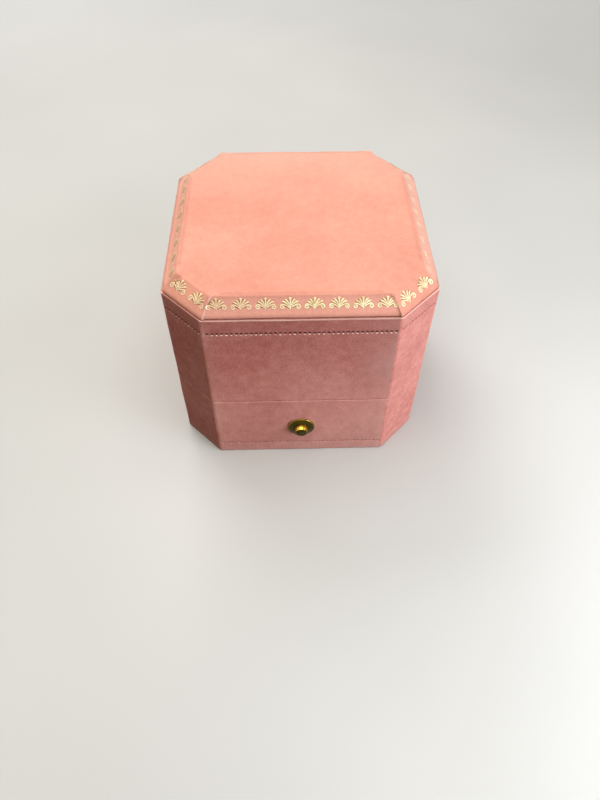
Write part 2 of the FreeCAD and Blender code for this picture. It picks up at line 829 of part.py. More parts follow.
def make_hinge_spring():
    """A torsion spring round the hinge pin, with a leg into the base and a leg into the lid."""
    radius, pitch, leg = value("spring_radius"), value("spring_pitch"), value("spring_leg")
    wire, room = value("spring_wire"), value("2 * (pocket_half)")
    centre = Vector(0, value("hinge_y"), value("hinge_z"))
    turns = math.floor((room - wire) / pitch) - 0.5
    quarters = round(turns * QUARTERS_PER_TURN)

    def on_coil(quarter):
        """Point and unit tangent of the helix, which starts under the pin and winds up its back."""
        angle = quarter * math.pi / 2
        x = (quarter / quarters - 0.5) * turns * pitch
        point = centre + Vector(x, radius * math.sin(angle), -radius * math.cos(angle))
        rise = Vector(pitch / (2 * math.pi), radius * math.cos(angle), radius * math.sin(angle))
        return point, rise.normalize()

    first, first_way = on_coil(0)
    last, last_way = on_coil(quarters)
    legs = [first - first_way * leg, last + last_way * leg]
    edges = [Part.LineSegment(legs[0], first).toShape()]
    for quarter in range(quarters):
        start, start_way = on_coil(quarter)
        end, end_way = on_coil(quarter + 1)
        edges += biarc(start, start_way, end, end_way)
    edges.append(Part.LineSegment(last, legs[1]).toShape())
    path = Part.Wire(Part.__sortEdges__(edges))
    section = Part.Wire(Part.makeCircle(wire / 2, legs[0], first_way))
    shape = path.makePipeShell([section], True, False)

    points = path.discretize(GAP_SAMPLES)
    step = path.Length / (GAP_SAMPLES - 1)
    apart = math.ceil(math.pi * radius / step)
    least = min(
        (points[j] - points[i]).Length
        for i in range(GAP_SAMPLES)
        for j in range(i + apart, GAP_SAMPLES, 3)
    )
    print(f"hinge_spring: {turns} turns, least gap to itself {least - wire:.2f} mm")

    spring = doc.addObject("Part::Feature", "hinge_spring")
    spring.Label = "hinge_spring"
    spring.Shape = shape
    PARTS.append(spring)


def build():
    make_base_wrap()
    make_base_frame()
    make_base_floor()
    make_base_underlay()
    make_base_collar()
    make_insert_risers()
    make_insert_board()
    make_ring_roll("ring_roll_front", -1)
    make_ring_roll("ring_roll_rear", 1)
    make_lid_wrap()
    make_lid_frame()
    make_lid_top_board()
    make_lid_top_pad()
    make_lid_side_lining()
    make_lid_satin_pad()
    make_button_bushing()
    make_bushing_washer()
    make_push_button()
    make_latch_bracket()
    make_latch_pin()
    make_latch_lever()
    make_latch_spring()
    make_lid_keeper()
    fixed_bore = "hinge_pin_radius + fit_gap / 2"
    turning_bore = "hinge_pin_radius + running_gap"
    make_hinge_leaf(
        "hinge_lower_leaf", -1, OUTER_START, "outer_knuckle", fixed_bore, lower_rivets
    )
    make_hinge_leaf(
        "hinge_upper_leaf", 1, INNER_START, "inner_knuckle", turning_bore, upper_rivets
    )
    make_hinge_pin()
    make_hinge_spring()
    fasteners("hinge_lower_rivets", lower_rivets, TO_BACK)
    fasteners("hinge_upper_rivets", upper_rivets, TO_BACK)
    fasteners("bracket_screws", bracket_seats, TO_FRONT)
    fasteners("keeper_screws", keeper_seats, TO_FRONT)
    fasteners("spring_screw", [spring_screw_seat], DOWN)
    doc.recompute()


def check():
    """Stops if an object failed or a sub-part's shape is missing or broken."""
    for item in doc.Objects:
        if {"Invalid", "Error"} & set(item.State):
            raise RuntimeError(f"{item.Label} failed: {item.State}")
    for item in PARTS:
        if item.Shape.isNull() or not item.Shape.isValid() or not item.Shape.Solids:
            raise RuntimeError(f"{item.Label} has no valid solid")


build()
check()
os.makedirs("parts", exist_ok=True)
for item in PARTS:
    item.Shape.exportStep(os.path.join("parts", item.Label + ".step"))
print(f"{len(PARTS)} sub-parts written")
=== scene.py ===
"""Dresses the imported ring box: suede, stitching, a gold border, brass and linings, on a pale floor.

The mesh code works in millimetres, in the frame of the CAD model, and new_mesh turns them into metres.
"""

import json
import math

import bmesh
import bpy
import numpy as np
from mathutils import Matrix, Vector


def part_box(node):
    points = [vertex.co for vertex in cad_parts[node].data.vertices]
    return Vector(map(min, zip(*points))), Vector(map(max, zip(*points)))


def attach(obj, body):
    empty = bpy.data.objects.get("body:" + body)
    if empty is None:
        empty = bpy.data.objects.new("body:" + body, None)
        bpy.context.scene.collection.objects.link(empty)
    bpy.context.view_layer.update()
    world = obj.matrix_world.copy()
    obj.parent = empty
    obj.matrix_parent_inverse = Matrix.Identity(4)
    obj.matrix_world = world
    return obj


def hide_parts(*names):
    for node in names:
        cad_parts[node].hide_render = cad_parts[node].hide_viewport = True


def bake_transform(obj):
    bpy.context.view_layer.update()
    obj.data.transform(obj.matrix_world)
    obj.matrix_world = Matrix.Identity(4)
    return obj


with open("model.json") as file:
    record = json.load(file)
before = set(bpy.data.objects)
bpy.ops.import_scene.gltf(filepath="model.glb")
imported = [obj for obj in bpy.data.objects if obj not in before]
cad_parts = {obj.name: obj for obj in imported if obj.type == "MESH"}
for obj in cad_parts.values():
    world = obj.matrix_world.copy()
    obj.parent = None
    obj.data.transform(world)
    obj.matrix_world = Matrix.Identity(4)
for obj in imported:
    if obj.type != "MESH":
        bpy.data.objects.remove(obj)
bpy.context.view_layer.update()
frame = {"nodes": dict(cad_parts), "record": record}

MM = 0.001
SIDES = 8
TURN = math.radians(45)
SLOPE = math.tan(TURN / 2)


def millimetres(node):
    """Lowest and highest corner of a CAD node, in millimetres."""
    return [np.array(corner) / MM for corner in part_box(node)]


HALF, _, LID_TOP = millimetres("lid_wrap")[1]
CHAMFER = 9.0
WRAP = 0.8
TURN_IN = 3.05
CORNER = 1.2
SPREAD_LEFT = 0.42
SPREAD_RIGHT = 0.2
HINGE_Y, HINGE_Z = 30.5, 21.1
BARREL_ROOM = 1.6
BUTTON_HEIGHT = 10.5

# Plan of the box: stations round an octagon


def side_normal(side):
    angle = TURN * (side - 2)
    return np.array([math.cos(angle), math.sin(angle)])


def side_along(side):
    angle = TURN * side
    return np.array([math.cos(angle), math.sin(angle)])


def side_distance(side):
    """How far a side's face is from the middle; sides 0, 2, 4 and 6 are front, right, back and left."""
    return HALF if side % 2 == 0 else (2 * HALF - CHAMFER) / math.sqrt(2)


def side_half(side, inset):
    """Half the length of a side, measured between the sharp corners at an inset."""
    full = HALF - CHAMFER if side % 2 == 0 else CHAMFER / math.sqrt(2)
    return full - inset * SLOPE


class Plan:
    """Stations at given shares of each side's straight run, with a few more round each corner."""

    def __init__(self, main_marks, chamfer_marks, corner_steps):
        self.marks = [np.asarray(main_marks), np.asarray(chamfer_marks)]
        self.steps = corner_steps
        self.side = np.concatenate(
            [
                np.concatenate([np.full(len(self.marks[s % 2]), s), np.full(corner_steps - 1, -1)])
                for s in range(SIDES)
            ]
        )
        self.count = len(self.side)

    def by_side(self, values, other):
        """A value for every station, by the side that it is on."""
        return np.array([values.get(side, other) for side in self.side])

    def ring(self, inset, radius, extra=0.0):
        """Points, outward normals and places along the side of every station at an inset.

        The chamfers lie further in by extra.
        """
        reaches = [side_distance(s) - inset - extra * (s % 2) for s in range(SIDES)]
        inner = [reach - radius for reach in reaches + reaches[:1]]
        centres = [corner_after(s, inner[s], inner[s + 1]) for s in range(SIDES)]
        points, normals, places = [], [], []
        for side in range(SIDES):
            normal, along = side_normal(side), side_along(side)
            start, end = centres[side - 1] + normal * radius, centres[side] + normal * radius
            run = start + np.outer(self.marks[side % 2], end - start)
            points.append(run)
            normals.append(np.tile(normal, (len(run), 1)))
            places.append(run @ along)
            angles = TURN * (side - 2) + TURN * np.arange(1, self.steps) / self.steps
            turned = np.stack([np.cos(angles), np.sin(angles)], axis=1)
            points.append(centres[side] + turned * radius)
            normals.append(turned)
            places.append(np.full(self.steps - 1, np.nan))
        return np.concatenate(points), np.concatenate(normals), np.concatenate(places)


def corner_after(side, near, far):
    """Where a side's line and the next one's meet, at their distances from the middle."""
    reach = (far - near * math.cos(TURN)) / math.sin(TURN)
    return side_normal(side) * near + side_along(side) * reach


def at_height(flat, z):
    """Points of a plan at a height."""
    return np.column_stack([flat, np.full(len(flat), z)])


def spread(points):
    """Widens the covered box a little towards its front, where its soft sides stand out."""
    points = np.array(points, float)
    x, y = points[:, 0], points[:, 1]
    forward = np.clip((HALF - CHAMFER - y) / (2 * HALF - CHAMFER), 0, 1)
    share = np.abs(x) / HALF
    points[:, 0] += np.where(x < 0, -SPREAD_LEFT * share, SPREAD_RIGHT * share**3) * forward
    return points


# Meshes


def linked(name, data):
    """A new object in the scene."""
    thing = bpy.data.objects.new(name, data)
    bpy.context.scene.collection.objects.link(thing)
    return thing


def new_mesh(name, points, faces, scale=MM):
    mesh = bpy.data.meshes.new(name)
    mesh.from_pydata((np.asarray(points) * scale).tolist(), [], faces)
    return mesh


def new_piece(name, points, faces, material, body=None, replaces=(), smooth=True, marks=None):
    """A mesh piece from points in millimetres, on a CAD body, with optional point attributes."""
    mesh = new_mesh(name, points, faces)
    mesh.validate()
    for key, values in (marks or {}).items():
        attribute = mesh.attributes.new(key, "FLOAT", "POINT")
        attribute.data.foreach_set("value", np.asarray(values, np.float32))
    mesh.polygons.foreach_set("use_smooth", [smooth] * len(mesh.polygons))
    mesh.materials.append(material)
    piece = linked(name, mesh)
    if replaces:
        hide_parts(*replaces)
    if body:
        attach(piece, body)
    return piece


def grid_faces(rows, columns, close_rows=False):
    """Quads between the rows of a grid whose columns run all the way round."""
    faces = []
    for row in range(rows if close_rows else rows - 1):
        here, above = row * columns, (row + 1) % rows * columns
        for column in range(columns):
            right = (column + 1) % columns
            faces.append((here + column, here + right, above + right, above + column))
    return faces


def tube_faces(rows, columns, base=0):
    """Faces of a closed tube, a grid with both ends capped, whose points start at base."""
    last = (rows - 1) * columns
    faces = grid_faces(rows, columns)
    faces += [tuple(range(columns))[::-1], tuple(range(last, last + columns))]
    return [tuple(base + place for place in face) for face in faces]


def headings(path):
    """The unit way along a line at each of its points."""
    ways = np.gradient(path, axis=0)
    return ways / np.linalg.norm(ways, axis=1)[:, None]


def settle(piece):
    """Applies a piece's modifiers to its mesh."""
    graph = bpy.context.evaluated_depsgraph_get()
    result = bpy.data.meshes.new_from_object(piece.evaluated_get(graph))
    piece.modifiers.clear()
    old = piece.data
    result.name = old.name
    piece.data = result
    bpy.data.meshes.remove(old)


def discard(thing):
    mesh = thing.data
    bpy.data.objects.remove(thing)
    bpy.data.meshes.remove(mesh)


def cut(piece, cutter_points, cutter_faces):
    """Takes a closed shape away from a piece."""
    cutter = linked("cutter", new_mesh("cutter", cutter_points, cutter_faces))
    modifier = piece.modifiers.new("cut", "BOOLEAN")
    modifier.operation = "DIFFERENCE"
    modifier.solver = "EXACT"
    modifier.object = cutter
    settle(piece)
    if not piece.data.polygons:
        raise RuntimeError(f"a cut leaves nothing of {piece.name}")
    discard(cutter)


def prism_along_x(outline, half_width):
    """A closed prism with a (y, z) outline, centred on x = 0."""
    points = [(x, y, z) for x in (-half_width, half_width) for y, z in outline]
    return points, tube_faces(2, len(outline))


def box_cutter(half_width, y0, y1, z0, z1):
    return prism_along_x([(y0, z0), (y1, z0), (y1, z1), (y0, z1)], half_width)


def arc_points(centre, radius, start, end, steps):
    angles = np.radians(np.linspace(start, end, steps))
    return [(centre[0] + radius * math.cos(a), centre[1] + radius * math.sin(a)) for a in angles]


def circle(radius, steps):
    return arc_points((0.0, 0.0), radius, 0, 360, steps + 1)[:-1]


def revolved(profile, steps, hollow=True):
    """A section of (radius, place) turned about an axis: points across, up and along it, and faces."""
    points = [(across, up, place) for radius, place in profile for across, up in circle(radius, steps)]
    faces = grid_faces(len(profile), steps, True) if hollow else tube_faces(len(profile), steps)
    return np.array(points), faces


def about_button(profile, steps, hollow=True):
    """A section of (radius, y) turned about the button's axis."""
    points, faces = revolved(profile, steps, hollow)
    return points[:, [0, 2, 1]] + (0.0, 0.0, BUTTON_HEIGHT), faces


def smoothstep(low, high, value):
    t = np.clip((value - low) / (high - low), 0, 1)
    return t * t * (3 - 2 * t)


def bell(value, width):
    return np.exp(-(value**2) / (2 * width**2))


WAVES = np.random.RandomState(11)
WAVE_COUNT = 9
WAVE_DIRECTIONS = WAVES.normal(size=(WAVE_COUNT, 3))
WAVE_DIRECTIONS /= np.linalg.norm(WAVE_DIRECTIONS, axis=1)[:, None]
WAVE_LENGTHS = WAVES.uniform(0.7, 1.9, WAVE_COUNT)
WAVE_PHASES = WAVES.uniform(0, 2 * math.pi, WAVE_COUNT)


def ripple(points, length):
    """A smooth uneven field between about -1 and 1, with waves of about that length."""
    turns = points @ (WAVE_DIRECTIONS / (WAVE_LENGTHS * length)[:, None]).T * 2 * math.pi + WAVE_PHASES
    return np.sin(turns).sum(axis=1) / math.sqrt(WAVE_COUNT)


# Materials


class Nodes:
    """The nodes of a material or a world, with the makings that the finishes share."""

    def __init__(self, owner):
        owner.use_nodes = True
        self.owner = owner
        self.nodes, self.links = owner.node_tree.nodes, owner.node_tree.links
        self.shader = self.nodes.get("Principled BSDF")

    def feed(self, node, *inputs, **named):
        """Gives a node's inputs values or links, in order or by name."""
        for key, value in [*enumerate(inputs), *named.items()]:
            socket = node.inputs[key.replace("_", " ") if key in named else key]
            if isinstance(value, bpy.types.NodeSocket):
                self.links.new(value, socket)
            else:
                socket.default_value = value
        return node

    def add(self, kind, *inputs, **named):
        return self.feed(self.nodes.new(kind), *inputs, **named)

    def dress(self, **named):
        self.feed(self.shader, **named)

    def noise(self, scale, detail=3.0, roughness=0.55, stretch=None):
        """A noise texture on the piece's own coordinates, in metres."""
        source = self.add("ShaderNodeTexCoord").outputs["Object"]
        if stretch:
            source = self.add("ShaderNodeMapping", Vector=source, Scale=stretch).outputs["Vector"]
        texture = self.add("ShaderNodeTexNoise", Scale=scale, Detail=detail, Roughness=roughness)
        return self.feed(texture, Vector=source).outputs["Fac"]

    def weighted(self, *terms):
        """The sum of several values, each times its weight."""
        total = 0.0
        for source, weight in terms:
            step = self.add("ShaderNodeMath")
            step.operation = "MULTIPLY_ADD"
            total = self.feed(step, source, weight, total).outputs[0]
        return total

    def ramp(self, source, places, colours):
        """Colours at places between 0 and 1."""
        node = self.add("ShaderNodeValToRGB", Fac=source)
        elements = node.color_ramp.elements
        while len(elements) < len(places):
            elements.new(0.5)
        for element, place, colour in zip(elements, places, colours):
            element.position = place
            element.color = (*colour, 1.0)
        return node.outputs["Color"]

    def tint(self, colour, mark, strength, target):
        """Moves a colour towards a target where a point attribute is high."""
        attribute = self.add("ShaderNodeAttribute")
        attribute.attribute_name = mark
        mix = self.add("ShaderNodeMix")
        mix.data_type = "RGBA"
        factor = self.weighted((attribute.outputs["Fac"], strength))
        return self.feed(mix, Factor=factor, A=colour, B=(*target, 1.0)).outputs["Result"]

    def metal(self, source, low, high):
        """Makes the shader metal, with a roughness between low and high that follows a source."""
        rough = self.add("ShaderNodeMapRange", Value=source, To_Min=low, To_Max=high)
        self.dress(Roughness=rough.outputs["Result"], Metallic=1.0)

    def bumped(self, height, distance, strength):
        """The finished material, with a fine bump."""
        bump = self.add("ShaderNodeBump", Strength=strength, Distance=distance, Height=height)
        self.dress(Normal=bump.outputs["Normal"])
        return self.owner

    def mixed(self, factor, first, second):
        return self.add("ShaderNodeMixShader", factor, first.outputs[0], second.outputs[0])

    def end_with(self, unseen, seen, output):
        """Shows one shader to the camera, a gloss or a glass, and another to the rays that carry light."""
        path = self.add("ShaderNodeLightPath")
        rays = [path.outputs[f"Is {ray} Ray"] for ray in ("Camera", "Glossy", "Transmission")]
        both = self.mixed(self.weighted(*((ray, 1.0) for ray in rays)), unseen, seen)
        self.feed(self.nodes[output], Surface=both.outputs["Shader"])


def new_finish(name):
    return Nodes(bpy.data.materials.new(name))


def make_suede(name, shades, weights, nap, sheen):
    """Brushed leather: cloudy patches, a mottle and fine fibres, painted paler where the edge mark is high,
    mostly as painted light, and darker where painted shade is marked.
    """
    made = new_finish(name)
    patches, mottle, fibres = made.noise(55, 2.0), made.noise(520, 3.0, 0.6), made.noise(2600, 2.0, 0.6)
    colour = made.ramp(made.weighted(*zip((patches, mottle, fibres), weights)), (0.30, 0.50, 0.70), shades)
    # The edge mark paints the suede paler: at corners and rims, and as painted light on the lid's lip, the
    # right-hand sides, the bands, the back of the top and the lit ridge of a fold.
    colour = made.tint(colour, "edge", 0.5, (0.86, 0.55, 0.50))
    # This mark is painted shade: in stitch holes, beside folds, along the crease, above the lip, up the
    # main walls and on the left chamfer.
    colour = made.tint(colour, "painted_shade", 0.95, (0.07, 0.014, 0.012))
    made.dress(Base_Color=colour, Roughness=0.92, Specular_IOR_Level=0.18)
    made.dress(Sheen_Weight=sheen, Sheen_Roughness=0.3, Sheen_Tint=(1.0, 0.80, 0.74, 1.0))
    return made.bumped(made.weighted((mottle, 0.4), (fibres, 0.6)), 0.00012, nap)


def make_thread(name, *shades):
    made = new_finish(name)
    strands = made.noise(5200, 2.0)
    colour = made.ramp(strands, (0.3, 0.7), shades)
    made.dress(Base_Color=colour, Roughness=0.6, Specular_IOR_Level=0.35, Sheen_Weight=0.2)
    return made.bumped(strands, 0.00005, 0.6)


def make_gold():
    """Gold foil: worn and cloudy, painted dimmer where its reflection is marked dim, with a painted shadow
    round each stroke's rim.
    """
    made = new_finish("gold_foil")
    wear, clouds = made.noise(1500, 3.0), made.noise(260, 2.0)
    shades = (0.64, 0.47, 0.22), (0.93, 0.81, 0.50), (1.0, 0.95, 0.70)
    colour = made.ramp(made.weighted((wear, 0.55), (clouds, 0.45)), (0.32, 0.46, 0.62), shades)
    # Painted dim reflection: the foil turns tan where it is marked, on the left and at the back.
    colour = made.tint(colour, "painted_dim", 0.9, (0.86, 0.59, 0.39))
    # Painted shadow of the impression round each stroke's rim.
    made.dress(Base_Color=made.tint(colour, "painted_rim_shade", 0.9, (0.12, 0.05, 0.02)))
    made.metal(wear, 0.34, 0.55)
    return made.bumped(wear, 0.00004, 0.5)


def make_metal(name, dark, light, low, high, polish=None):
    """Metal with cloudy tone and roughness, brighter where a piece is marked as polished."""
    made = new_finish(name)
    clouds, grain = made.noise(320, 3.0), made.noise(2600, 3.0)
    colour = made.ramp(clouds, (0.3, 0.7), (dark, light))
    if polish:
        colour = made.tint(colour, "polish", 1.0, polish)
    made.dress(Base_Color=colour)
    made.metal(grain, low, high)
    return made.bumped(grain, 0.00003, 0.25)


def make_cloth(name, dark, light, sheen, roughness, fine=4200, stretch=None, shade_strength=None):
    """A lining fabric: soft patches and a fine pile or thread, with painted brown shade where a piece is
    marked dim.
    """
    made = new_finish(name)
    patches, pile = made.noise(110, 2.0), made.noise(fine, 2.0, 0.6, stretch)
    colour = made.ramp(made.weighted((patches, 0.6), (pile, 0.4)), (0.32, 0.68), (dark, light))
    if shade_strength:
        # Painted shade: brown where the piece is marked dim.
        colour = made.tint(colour, "painted_dim", shade_strength, (0.27, 0.155, 0.055))
    made.dress(Base_Color=colour, Roughness=roughness, Specular_IOR_Level=0.25)
    made.dress(Sheen_Weight=sheen, Sheen_Roughness=0.35)
    return made.bumped(pile, 0.00008, 0.5)


TOP_SHADES = [(0.65, 0.255, 0.200), (0.75, 0.325, 0.250), (0.82, 0.400, 0.315)]
# The walls get their own copy of the suede, rosier than the top's and with darker darks: partly painted
# shade, the dimmer, cooler light on the walls painted into their colour.
WALL_SHADES = [(0.47, 0.120, 0.098), (0.75, 0.258, 0.226), (0.96, 0.460, 0.420)]
SUEDE = make_suede("suede", TOP_SHADES, (0.40, 0.25, 0.35), 0.55, 0.55)
WALL_SUEDE = make_suede("wall_suede", WALL_SHADES, (0.32, 0.30, 0.38), 1.0, 0.26)
THREAD = make_thread("thread", (0.88, 0.62, 0.52), (0.98, 0.84, 0.74))
DULL_THREAD = make_thread("dull_thread", (0.66, 0.30, 0.27), (0.84, 0.48, 0.43))
GOLD = make_gold()
# The ground under the palmettes: suede darkened partly by the stamp and partly as painted shade of the
# impression.
PRESSED_SHADED_SUEDE = make_cloth(
    "pressed_shaded_suede", (0.48, 0.225, 0.13), (0.66, 0.32, 0.21), 0.0, 0.75, 2600, shade_strength=0.62
)
BRASS = make_metal("brass", (0.46, 0.31, 0.10), (0.74, 0.55, 0.22), 0.14, 0.30)
AGED_BRASS = make_metal(
    "aged_brass", (0.04, 0.031, 0.004), (0.085, 0.066, 0.011), 0.1, 0.22, polish=(0.62, 0.42, 0.06)
)
STEEL = make_metal("spring_steel", (0.42, 0.42, 0.44), (0.66, 0.66, 0.68), 0.2, 0.36)
VELVET = make_cloth("velvet", (0.66, 0.46, 0.38), (0.82, 0.63, 0.54), 0.7, 0.9)
SATIN = make_cloth("satin", (0.80, 0.68, 0.56), (0.92, 0.83, 0.72), 0.25, 0.42, 2600, (1.0, 7.0, 1.0))
FELT = make_cloth("felt", (0.20, 0.10, 0.09), (0.36, 0.20, 0.17), 0.3, 0.95, 1600)
BOARD = make_cloth("board", (0.42, 0.32, 0.22), (0.60, 0.48, 0.35), 0.0, 0.8, 1200, (1.0, 1.0, 6.0))

BY_SLOT = {
    "suede": SUEDE,
    "board": BOARD,
    "felt": FELT,
    "velvet": VELVET,
    "satin": SATIN,
    "brass": BRASS,
    "spring_steel": STEEL,
}
for subpart in frame["record"]["subparts"]:
    node = frame["nodes"][subpart["node"]]
    node.data.materials.clear()
    node.data.materials.append(BY_SLOT[subpart["material_slot"]])

# Suede walls, with a row of stitches on each

STEPS_PER_STITCH = 6
MAIN_STITCHES = 40
CHAMFER_STITCHES = 11
CORNER_STEPS = 6
LID_STITCH_HEIGHT = LID_TOP - 3.9
BASE_STITCH_HEIGHT = 3.65
HOLE_WIDTH = 0.21
HOLE_HEIGHT = 0.17
HOLE_DEPTH = 0.32
FURROW_WIDTH = 0.30
FURROW_DROP = 0.12
FURROW_DEPTH = 0.06
WALL_WAVE = 13.0
WALL_PUFF = 0.045
THREAD_LENGTH = 0.46
THREAD_THICK = 0.13
THREAD_DROP = 0.36
THREAD_SIZES = {1: 0.45, 3: 0.6, 5: 0.6, 7: 0.6}
WALL_STEP = 1.1
LIP = 0.14
LIP_GROOVE = 0.17
RIM_BAND = 0.16
# Painted light on the right-hand chamfer and side; the strength and width of the lip's painted highlight by
# side; painted shade on the left chamfer and growing up the main walls.
SIDE_PAINTED_LIGHT = {1: 0.34, 2: 0.3}
RIM_PAINTED_LIGHT = {7: 0.3}
RIM_WIDTH = {7: 0.7}
SIDE_SHADE = {7: 0.42}
TOP_SHADE = 0.31

wall_plan = Plan(
    np.linspace(0, 1, MAIN_STITCHES * STEPS_PER_STITCH + 1),
    np.linspace(0, 1, CHAMFER_STITCHES * STEPS_PER_STITCH + 1),
    CORNER_STEPS,
)


def wall_heights(low, high, row):
    """Heights up a wall, close together at the stitches."""
    fine = np.arange(row - 0.8, row + 0.55, 0.1)
    below = np.linspace(low, fine[0], max(2, round((fine[0] - low) / WALL_STEP) + 1))[:-1]
    above = np.linspace(fine[-1], high, max(2, round((high - fine[-1]) / WALL_STEP) + 1))[1:]
    return np.concatenate([below, fine, above])


def stitch_phase(places, halves):
    """Distance from each station to the nearest stitch hole along its side."""
    phase = np.full(wall_plan.count, 9.0)
    for side in range(SIDES):
        on_side = wall_plan.side == side
        count = (MAIN_STITCHES, CHAMFER_STITCHES)[side % 2]
        share = (places[on_side] / halves[side] + 1) / 2 * count
        phase[on_side] = (share - np.floor(share) - 0.5) * 2 * halves[side] / count
    return phase


def straight_half(side):
    """Half the flat run of a wall's side, between its rounded corners."""
    return side_half(side, 0) - CORNER * SLOPE


def wall_section(low, high, insets, rounds, row, groove):
    """The strip's section as (inset, height), from its lower inner edge round the outside.

    insets says how far in its edges reach, and rounds how round they are, first below and then above.
    """
    (low_inset, high_inset), (low_round, high_round) = insets, rounds
    heights = wall_heights(low + low_round, high - high_round, row)
    heights = np.sort(np.append(heights, [low + low_round + RIM_BAND, high - high_round - RIM_BAND]))
    section = [(low_inset, low), ((low_inset + low_round) / 2, low)]
    section += arc_points((low_round, low + low_round), low_round, 270, 180, 6)[:-1]
    section += [(0.0, z) for z in heights]
    section += arc_points((high_round, high - high_round), high_round, 180, 90, 5)[1:]
    lip = max(LIP, high_round + 0.05)
    section += [(lip, high), (lip + 0.08, high - groove * 0.2), (lip + 0.14, high - groove * 0.9)]
    section += [(lip + 0.24, high - groove), (high_inset, high - groove), (high_inset, high - WRAP)]
    return section + [(WRAP, high - WRAP), (WRAP, low + WRAP), (low_inset, low + WRAP)]


def wear(places, halves, z, low, high, rims, foot):
    """How pale the suede is painted: paler at and beside the corners and below the base's stitch row, paler
    rims with a painted highlight on the lid's lip, and painted light down and along the main sides and on
    the right-hand sides.
    """
    on_corner = wall_plan.side < 0
    on_main = wall_plan.side % 2 == 0
    along = np.nan_to_num(places)
    from_end = wall_plan.by_side(dict(enumerate(halves)), 1.0) - np.abs(along)
    beside = np.where(on_main, smoothstep(1.8, 0.0, from_end) * 0.2, smoothstep(0.5, 0.0, from_end) * 0.1)
    # Painted light on the right-hand chamfer and side, stronger higher up.
    painted_light = wall_plan.by_side(SIDE_PAINTED_LIGHT, 0.0) * (0.3 + 0.7 * smoothstep(4.0, 34.0, z))
    # Painted light on the main sides: paler towards the bottom and from left to right, with a lit patch
    # near the right end.
    strokes = smoothstep(42.0, 4.0, z) * 0.44 + smoothstep(-22.0, 22.0, along) * 0.26
    strokes += smoothstep(10.0, 20.0, along) * (0.10 + 0.42 * bell(z - 34.0, 5.0))
    painted_light = np.where(on_main, np.maximum(painted_light, strokes), painted_light)
    # Corners are paler; elsewhere the paleness beside the corners adds to the painted light.
    worn = np.where(on_corner, 0.22, beside + painted_light)
    # Paler rims; at the lid's lip this is a painted highlight, weaker on the left chamfer.
    width = wall_plan.by_side(RIM_WIDTH, 0.24)
    rim = np.maximum(smoothstep(0.24, 0.06, z - low) * rims[0], smoothstep(width, 0.06, high - z) * rims[1])
    # Paler below the base's stitch row.
    below = smoothstep(foot, foot - 1.2, z) * 0.2
    return np.maximum(worn + below, rim * wall_plan.by_side(RIM_PAINTED_LIGHT, 1.0))


def suede_wall(name, node, body, insets, rounds, row, groove, hole_size, rims, foot):
    """A suede strip turned in at both edges: a closed section carried round the octagon."""
    low, high = (corner[2] for corner in millimetres(node))
    section = wall_section(low, high, insets, rounds, row, groove)
    halves = [straight_half(side) for side in range(SIDES)]
    on_corner = wall_plan.side < 0
    points, painted_shades, edges = [], [], []
    for inset, z in section:
        flat, normal, places = wall_plan.ring(inset, max(CORNER - inset, 0.1))
        ring = at_height(flat, z)
        # Painted shade: darker up the main walls and on the left chamfer.
        upper = np.clip((z - 14.0) / 32.0, 0, 1) * TOP_SHADE
        painted_shade = np.array([SIDE_SHADE.get(s, upper * (s % 2 == 0)) for s in wall_plan.side])
        if inset == 0.0:
            phase = stitch_phase(places, halves)
            hole = bell(phase, HOLE_WIDTH * hole_size) * bell(z - row, HOLE_HEIGHT * hole_size) * hole_size
            furrow = bell(z - row + FURROW_DROP, FURROW_WIDTH) * np.where(on_corner, 0.0, 1.0)
            free = smoothstep(0.4, 4.0, abs(z - HINGE_Z))
            push = ripple(ring, WALL_WAVE) * WALL_PUFF * free - hole * HOLE_DEPTH - furrow * FURROW_DEPTH
            ring[:, :2] += normal * push[:, None]
            # Each stitch hole gets painted shade as well as being sunk.
            painted_shade = painted_shade + hole
        points.append(ring)
        painted_shades.append(painted_shade)
        edges.append(wear(places, halves, z, low, high, rims, foot))
    faces = grid_faces(len(section), wall_plan.count, close_rows=True)
    marks = {"painted_shade": np.concatenate(painted_shades), "edge": np.concatenate(edges)}
    covered = spread(np.concatenate(points))
    return new_piece(name, covered, faces, WALL_SUEDE, body, [node], marks=marks)


PAST_WALL = 33.0
LEAF_SLOT_START, LEAF_SLOT_HALF = 26.45, 0.55
HINGE_ROOM_HALF = 13.2
SPRING_ROOM_START, SPRING_ROOM_HALF = 27.6, 4.2
LATCH_ROOM = (4.4, -27.35, -20.0, 15.5, 23.0)
BUTTON_ROOM = [(2.45, -33.0), (2.45, -26.0)]
BUTTON_ROOM_STEPS = 64


def cut_for_hinge(piece):
    """Leaves room for the hinge's leaves and barrel, and for the spring round its pin."""
    barrel = HINGE_Y - BARREL_ROOM
    half = [(LEAF_SLOT_START, LEAF_SLOT_HALF), (barrel, LEAF_SLOT_HALF)]
    half += [(barrel, BARREL_ROOM), (PAST_WALL, BARREL_ROOM)]
    outline = [(y, HINGE_Z - z) for y, z in half] + [(y, HINGE_Z + z) for y, z in half[::-1]]
    cut(piece, *prism_along_x(outline, HINGE_ROOM_HALF))
    low, high = HINGE_Z - BARREL_ROOM, HINGE_Z + BARREL_ROOM
    cut(piece, *box_cutter(SPRING_ROOM_HALF, SPRING_ROOM_START, PAST_WALL, low, high))


